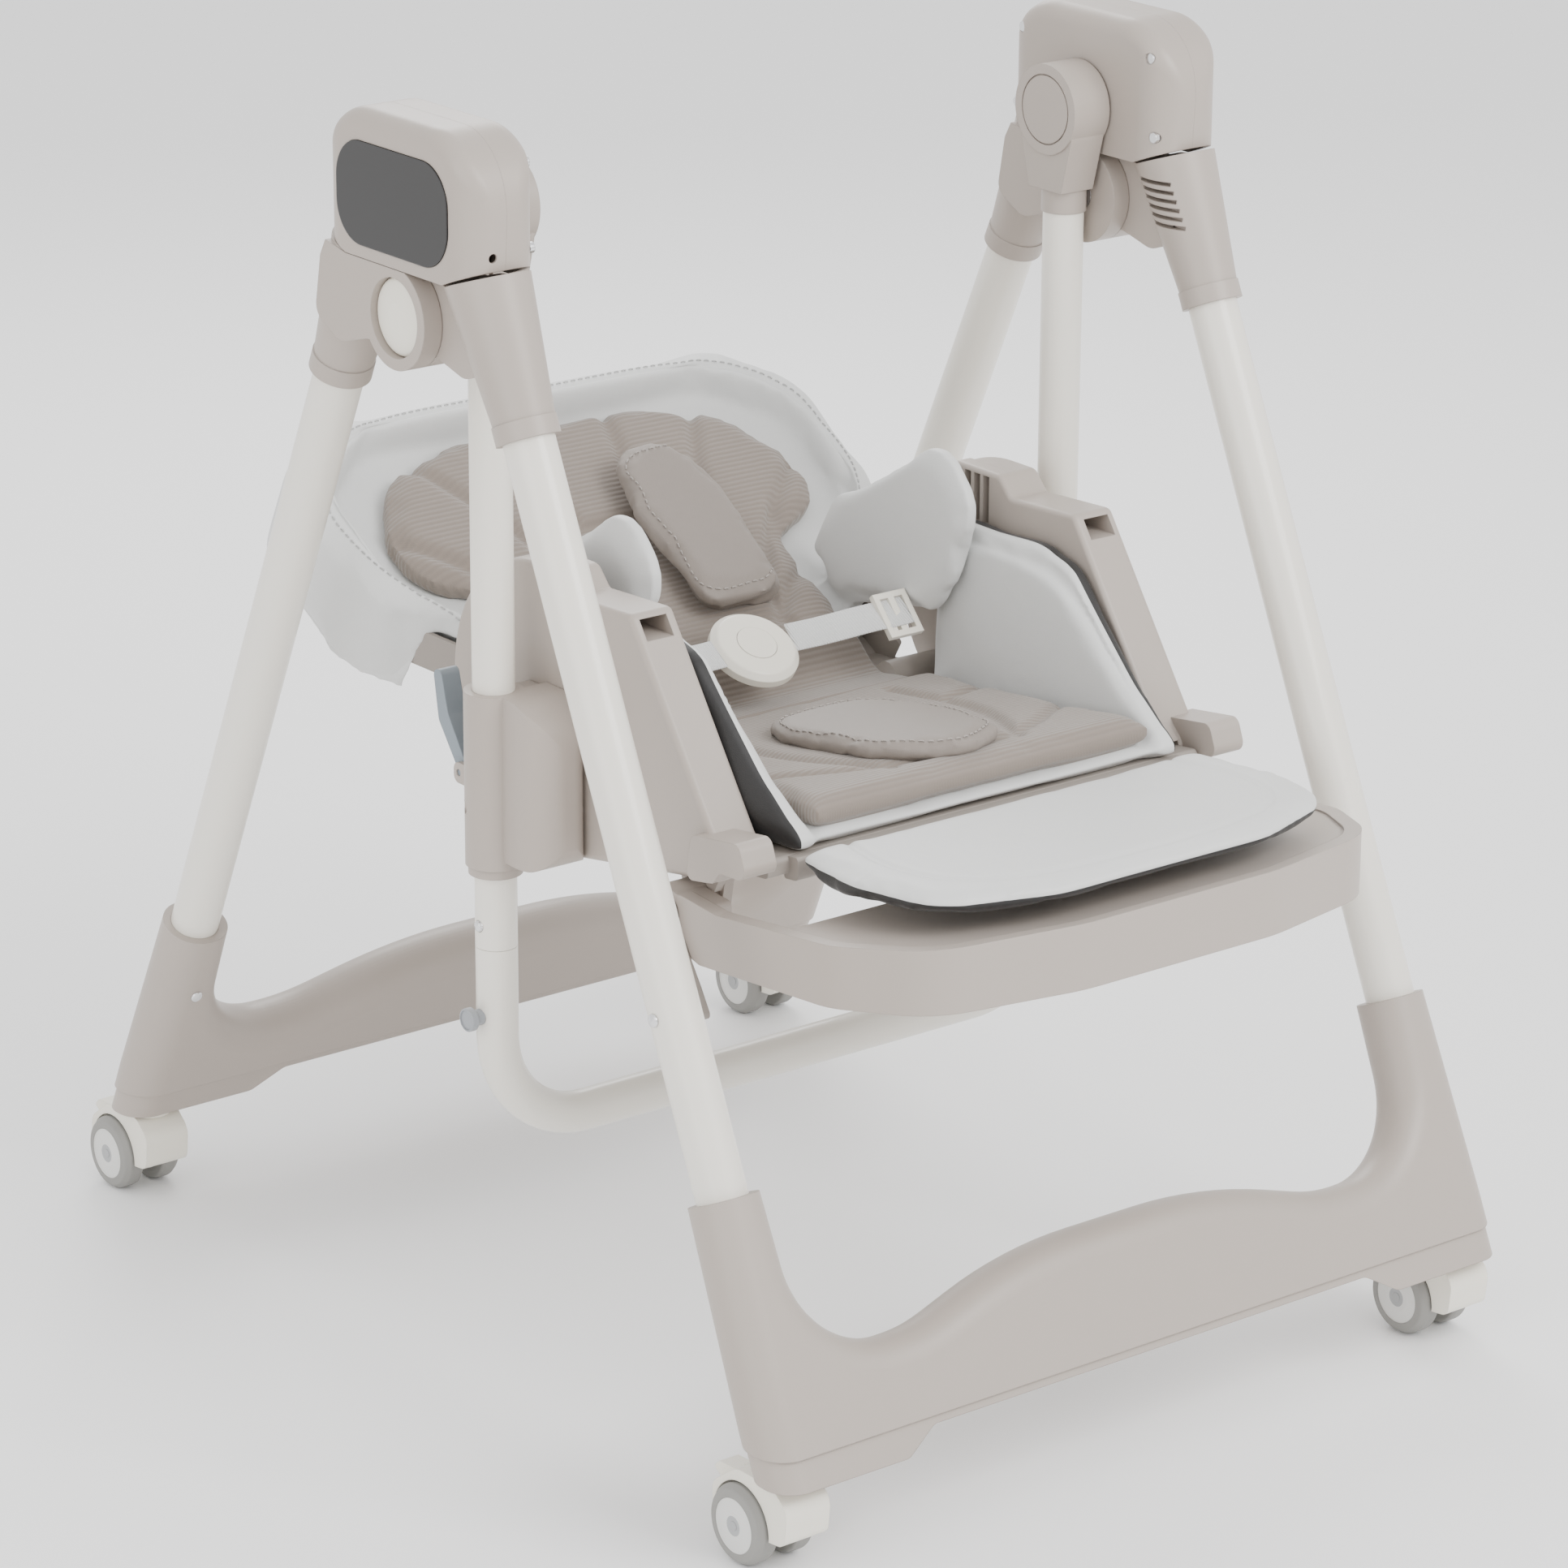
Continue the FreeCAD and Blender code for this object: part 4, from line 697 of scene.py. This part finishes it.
# %% Lines laid on a surface
def lay_on(obj, line, to_world, lift=0.0004, reach=1.2):
    """Drop a flat line (a, b) on a piece along its third axis: each point keeps the first hit."""
    tree = BVHTree.FromPolygons([tuple(p) for p in read_points(obj)],
                                [tuple(f.vertices) for f in obj.data.polygons])
    high = to_world(np.column_stack([line, np.full(len(line), reach)]))
    low = to_world(np.column_stack([line, np.full(len(line), -reach)]))
    laid = []
    for start, end in zip(high, low):
        way = Vector(end - start).normalized()
        hit = tree.ray_cast(Vector(start), way)[0]
        if hit is not None:
            laid.append(np.array(hit) - np.array(way) * lift)
    return np.array(laid)


def plain(points):
    """Level coordinates: the third axis is z itself."""
    return np.asarray(points, float)


# %% [markdown]
# ### The back cover
#
# The pale cover has a raised rim, a skirt over the shell and a wing at each side of the waist.

# %% Back cover
back_cover = puff("back_pad", "back_cover", voxel=0.005, cap=0.006, draw_in=0.003)
finer(back_cover)
local = world_to_back(read_points(back_cover))
ring = []
for side in (1, -1):
    half = [(0.172, 0.075), (0.172, 0.105), (0.222, 0.172), (0.232, 0.225), (0.228, 0.285),
            (0.175, 0.332), (0.0, 0.334)]
    ring.append(smooth_line(np.array(half) * [side, 1], rounds=3))
for line in ring:
    near = distance_to_line(local[:, :2], line)
    press(back_cover, 0.0035 * groove(near, 0.0035), (local[:, 2] > 0.020).astype(float))
paint(back_cover, PALE)
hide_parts("back_pad")
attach(back_cover, "back")

rim_rows = []
for line in ring:
    outside = resample(line, 0.004)
    away = outside - np.array([0.0, 0.18])
    away /= np.linalg.norm(away, axis=1, keepdims=True)
    rim_rows.append(stitches("rim_stitch", lay_on(back_cover, outside + away * 0.0065, back_to_world),
                             up=(0, -0.5, 0.87)))
rim_stitches = join("rim_stitches", rim_rows)
paint(rim_stitches, PALE_THREAD)
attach(rim_stitches, "back")
print("back cover points:", len(back_cover.data.vertices))

# %% [markdown]
# ### The ribbed back cushion
#
# Its seams fan out from the waist towards the head end, as petals do.

# %% Back cushion
back_cushion = puff("back_cushion", "back_cushion", voxel=0.0045, cap=0.007, draw_in=0.0035)
finer(back_cushion)
local = world_to_back(read_points(back_cushion))
top = (local[:, 2] > 0.012).astype(float)
fan = []
for x0, u0, x1, u1 in ((0.035, 0.19, 0.060, 0.315), (0.070, 0.15, 0.142, 0.30),
                       (0.085, 0.10, 0.190, 0.215), (0.075, 0.06, 0.145, 0.115)):
    for side in (1, -1):
        fan.append(np.array([(side * x0, u0), (side * (x0 + x1) / 2 * 0.97, (u0 + u1) / 2 + 0.004),
                             (side * x1, u1)]))
inner = np.array([(-0.075, 0.03), (-0.085, 0.10), (-0.07, 0.15), (-0.035, 0.19), (0.035, 0.19),
                  (0.07, 0.15), (0.085, 0.10), (0.075, 0.03)])
seams = fan + [inner]
depth = np.zeros(len(local))
for line in seams:
    depth = np.maximum(depth, 0.0050 * groove(distance_to_line(local[:, :2], line), 0.0065))
press(back_cushion, depth, top)
paint(back_cushion, RIBBED)
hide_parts("back_cushion")
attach(back_cushion, "back")

# %% [markdown]
# ### The seat cover, seat cushion and calf pad

# %% Seat cover
seat_cover = puff("seat_pad", "seat_cover", voxel=0.005, cap=0.005, draw_in=0.0028)
finer(seat_cover)
paint(seat_cover, PALE_LINED)
normals = read_normals(seat_cover)
points = read_points(seat_cover)
border = smooth_line(np.array([(-0.252, 0.487), (-0.205, 0.497), (-0.135, 0.560), (-0.09, 0.572),
                               (0.02, 0.567)]) + [YC, 0.0], rounds=3)
near = distance_to_line(points[:, 1:], border)
inner_side = ((np.abs(points[:, 0]) < 0.172) & (points[:, 0] * normals[:, 0] < 0)).astype(float)
press(seat_cover, 0.0030 * groove(near, 0.0045), inner_side)
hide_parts("seat_pad")
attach(seat_cover, "seat")

# %% Seat cushion
seat_cushion = puff("seat_cushion", "seat_cushion", voxel=0.0045, cap=0.006, draw_in=0.003)
finer(seat_cushion)
points = read_points(seat_cushion)
top = (points[:, 2] > seat_height(points[:, 1], 0.034)).astype(float)
depth = np.zeros(len(points))
for line in (np.array([(-0.150, -0.150), (-0.06, -0.205), (0.06, -0.205), (0.150, -0.150)]),
             np.array([(-0.092, -0.015), (-0.10, -0.115), (-0.06, -0.205)]),
             np.array([(0.092, -0.015), (0.10, -0.115), (0.06, -0.205)]),
             np.array([(-0.150, -0.06), (-0.10, -0.07)]), np.array([(0.150, -0.06), (0.10, -0.07)])):
    line = smooth_line(line, rounds=2) + [0, YC]
    depth = np.maximum(depth, 0.0045 * groove(distance_to_line(points[:, :2], line), 0.0055))
press(seat_cushion, depth, top)
paint(seat_cushion, RIBBED)
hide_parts("seat_cushion")
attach(seat_cushion, "seat")

# %% Calf pad
calf_pad = puff("calf_pad", "calf_pad", voxel=0.004, cap=0.004, draw_in=0.0015)
finer(calf_pad)
points, normals = read_points(calf_pad), read_normals(calf_pad)
paint(calf_pad, PALE_LINED_BELOW)
inset = smooth_line(np.array([(-0.150, -0.259), (-0.168, -0.33), (-0.150, -0.395), (-0.085, -0.420),
                              (0.085, -0.420), (0.150, -0.395), (0.168, -0.33), (0.150, -0.259)]),
                    rounds=3) + [0, YC]
depth = 0.0022 * groove(distance_to_line(points[:, :2], inset), 0.0035)
press(calf_pad, depth, (normals[:, 2] > 0.3).astype(float))
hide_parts("calf_pad")
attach(calf_pad, "leg_rest")

# %% Crotch pad and shoulder pads
crotch = puff("crotch_pad", "crotch_pad", voxel=0.0035, cap=0.004, draw_in=0.0015)
finer(crotch)
paint(crotch, TAUPE_PAD)
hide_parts("crotch_pad")
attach(crotch, "seat")
shoulders = puff("shoulder_pads", "shoulder_pads", voxel=0.0035, cap=0.004, draw_in=0.0015)
finer(shoulders)
paint(shoulders, TAUPE_PAD)
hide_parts("shoulder_pads")
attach(shoulders, "back")

# %% [markdown]
# ### Stitches round the small pads
#
# The crotch pad and the upper shoulder pad each have a row of thread a little way in from the edge.
# The row is found from the pad's own outline, so it stays even when the pad changes.

# %% Pad stitches
def inset_ring(flat, inset, count=72):
    """A closed line inside a pad's outline: the farthest point in each direction, less the inset."""
    middle = (flat.max(axis=0) + flat.min(axis=0)) / 2
    away = flat - middle
    turn = np.floor((np.arctan2(away[:, 1], away[:, 0]) + math.pi) / (2 * math.pi) * count).astype(int)
    far = np.linalg.norm(away, axis=1)
    reach = np.zeros(count)
    np.maximum.at(reach, turn % count, far)
    angle = (np.arange(count) + 0.5) / count * 2 * math.pi - math.pi
    ring_line = middle + np.stack([np.cos(angle), np.sin(angle)], axis=1) * (reach - inset)[:, None]
    return smooth_line(ring_line, closed=True, rounds=1)


crotch_line = lay_on(crotch, inset_ring(read_points(crotch)[:, :2], 0.008), plain)
crotch_stitches = stitches("crotch_stitches", crotch_line, closed=True)
paint(crotch_stitches, THREAD)
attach(crotch_stitches, "seat")
local = world_to_back(read_points(shoulders))
front_pad = local[local[:, 2] > 0.0432]
shoulder_line = lay_on(shoulders, inset_ring(front_pad[:, :2], 0.008), back_to_world)
shoulder_stitches = stitches("shoulder_stitches", shoulder_line, closed=True, up=(0, -0.5, 0.87))
paint(shoulder_stitches, THREAD)
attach(shoulder_stitches, "back")
print("soft pieces made")

# %% [markdown]
# ## 6. Harness webbing
#
# Flat straps are drawn directly: a thin ribbon carried along its path.

# %% Straps
def ribbon(name, path, width=0.025, thick=0.0016, up=(0, 0, 1)):
    """A flat strap along a path, its edges slightly rounded."""
    w, t = width / 2, thick / 2
    section = [(-w, -t * 0.4), (-w + t, -t), (w - t, -t), (w, -t * 0.4), (w, t * 0.4), (w - t, t),
               (-w + t, t), (-w, t * 0.4)]
    return loft(name, resample(smooth_line(path, rounds=3), 0.004), section, up)


lean = np.array([0.0, -math.sin(math.radians(40)), math.cos(math.radians(40))])
straps = []
for side in (1, -1):
    x0 = 0.0305 if side > 0 else 0.0385
    path = np.array([(side * x0, 0.032, 0.5035), (side * 0.060, 0.0285, 0.5045),
                     (side * 0.100, 0.0225, 0.5085), (side * 0.1125, 0.0185, 0.5095),
                     (side * 0.134, 0.0175, 0.5105)]) + [0, YC, 0]
    straps.append(ribbon("waist_strap", path, up=lean))

# %% [markdown]
# ### The fold between seat and back
#
# One strip of ribbed cloth crosses the recline hinge. It follows the seat at one end and the back at
# the other, and turns smoothly in between.

# %% Seat fold
fold_path = np.array([(0, 0.006, 0.4562), (0, 0.026, 0.4535), (0, 0.042, 0.4500), (0, 0.055, 0.4545),
                      (0, 0.067, 0.4650), (0, 0.082, 0.4790)]) + [0, YC, 0]
seat_fold = ribbon("seat_fold", fold_path, width=0.262, thick=0.006, up=(0, -0.3, 0.95))
paint(seat_fold, RIBBED)
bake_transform(seat_fold)

# %% Belt
belt = join("waist_straps", straps)
paint(belt, WEBBING)
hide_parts("waist_straps")
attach(belt, "seat")

# %% [markdown]
# ## 7. Stage, light and camera

# %% Stage
floor = new_mesh("floor", [(-6, -6, 0), (6, -6, 0), (6, 6, 0), (-6, 6, 0)], [(0, 1, 2, 3)])
floor_material, floor_shader = blank("pale floor", 0.7, specular=0.2)
floor_shader.inputs["Base Color"].default_value = (0.93, 0.93, 0.93, 1.0)
paint(floor, floor_material)

world = bpy.data.worlds.new("studio")
bpy.context.scene.world = world
world.use_nodes = True
world.node_tree.nodes["Background"].inputs["Color"].default_value = (1.0, 1.0, 1.0, 1.0)
ROOM_LIGHT = 1.5
BACKDROP_LIGHT = 6.0
sky = world.node_tree.nodes["Background"]
seen = world.node_tree.nodes.new("ShaderNodeLightPath").outputs["Is Camera Ray"]
strength = value_math(world.node_tree, "MULTIPLY", seen, BACKDROP_LIGHT)
world.node_tree.links.new(value_math(world.node_tree, "ADD", strength, ROOM_LIGHT),
                          sky.inputs["Strength"])


def area_light(name, place, target, size, power, tint=(1, 1, 1)):
    """A soft square light at a place, facing a target."""
    data = bpy.data.lights.new(name, "AREA")
    data.size = size
    data.energy = power
    data.color = tint
    light = bpy.data.objects.new(name, data)
    light.location = place
    light.rotation_mode = "QUATERNION"
    light.rotation_quaternion = (Vector(target) - Vector(place)).to_track_quat("-Z", "Y")
    bpy.context.scene.collection.objects.link(light)
    return light


area_light("key", (0.6, -2.6, 2.4), (0, 0, 0.5), 1.6, 74)
area_light("left_fill", (-2.8, -0.8, 1.6), (0, 0, 0.5), 2.0, 26)
area_light("rim", (1.4, 2.4, 2.2), (0, 0, 0.6), 1.4, 38)

camera_data = bpy.data.cameras.new("camera")
camera_data.sensor_width = 36.0
camera_data.lens = 129.76
camera_data.clip_end = 60.0
camera = bpy.data.objects.new("camera", camera_data)
right = np.array([0.78957, -0.61364, 0.00544])
above = np.array([0.19823, 0.26343, 0.94409])
back = np.array([-0.58076, -0.74435, 0.32964])
turn = Matrix(np.stack([right, above, back], axis=1).tolist()).to_4x4()
camera.matrix_world = Matrix.Translation((-2.51766, -3.22686 + YC, 1.82864)) @ turn
bpy.context.scene.collection.objects.link(camera)
bpy.context.scene.camera = camera
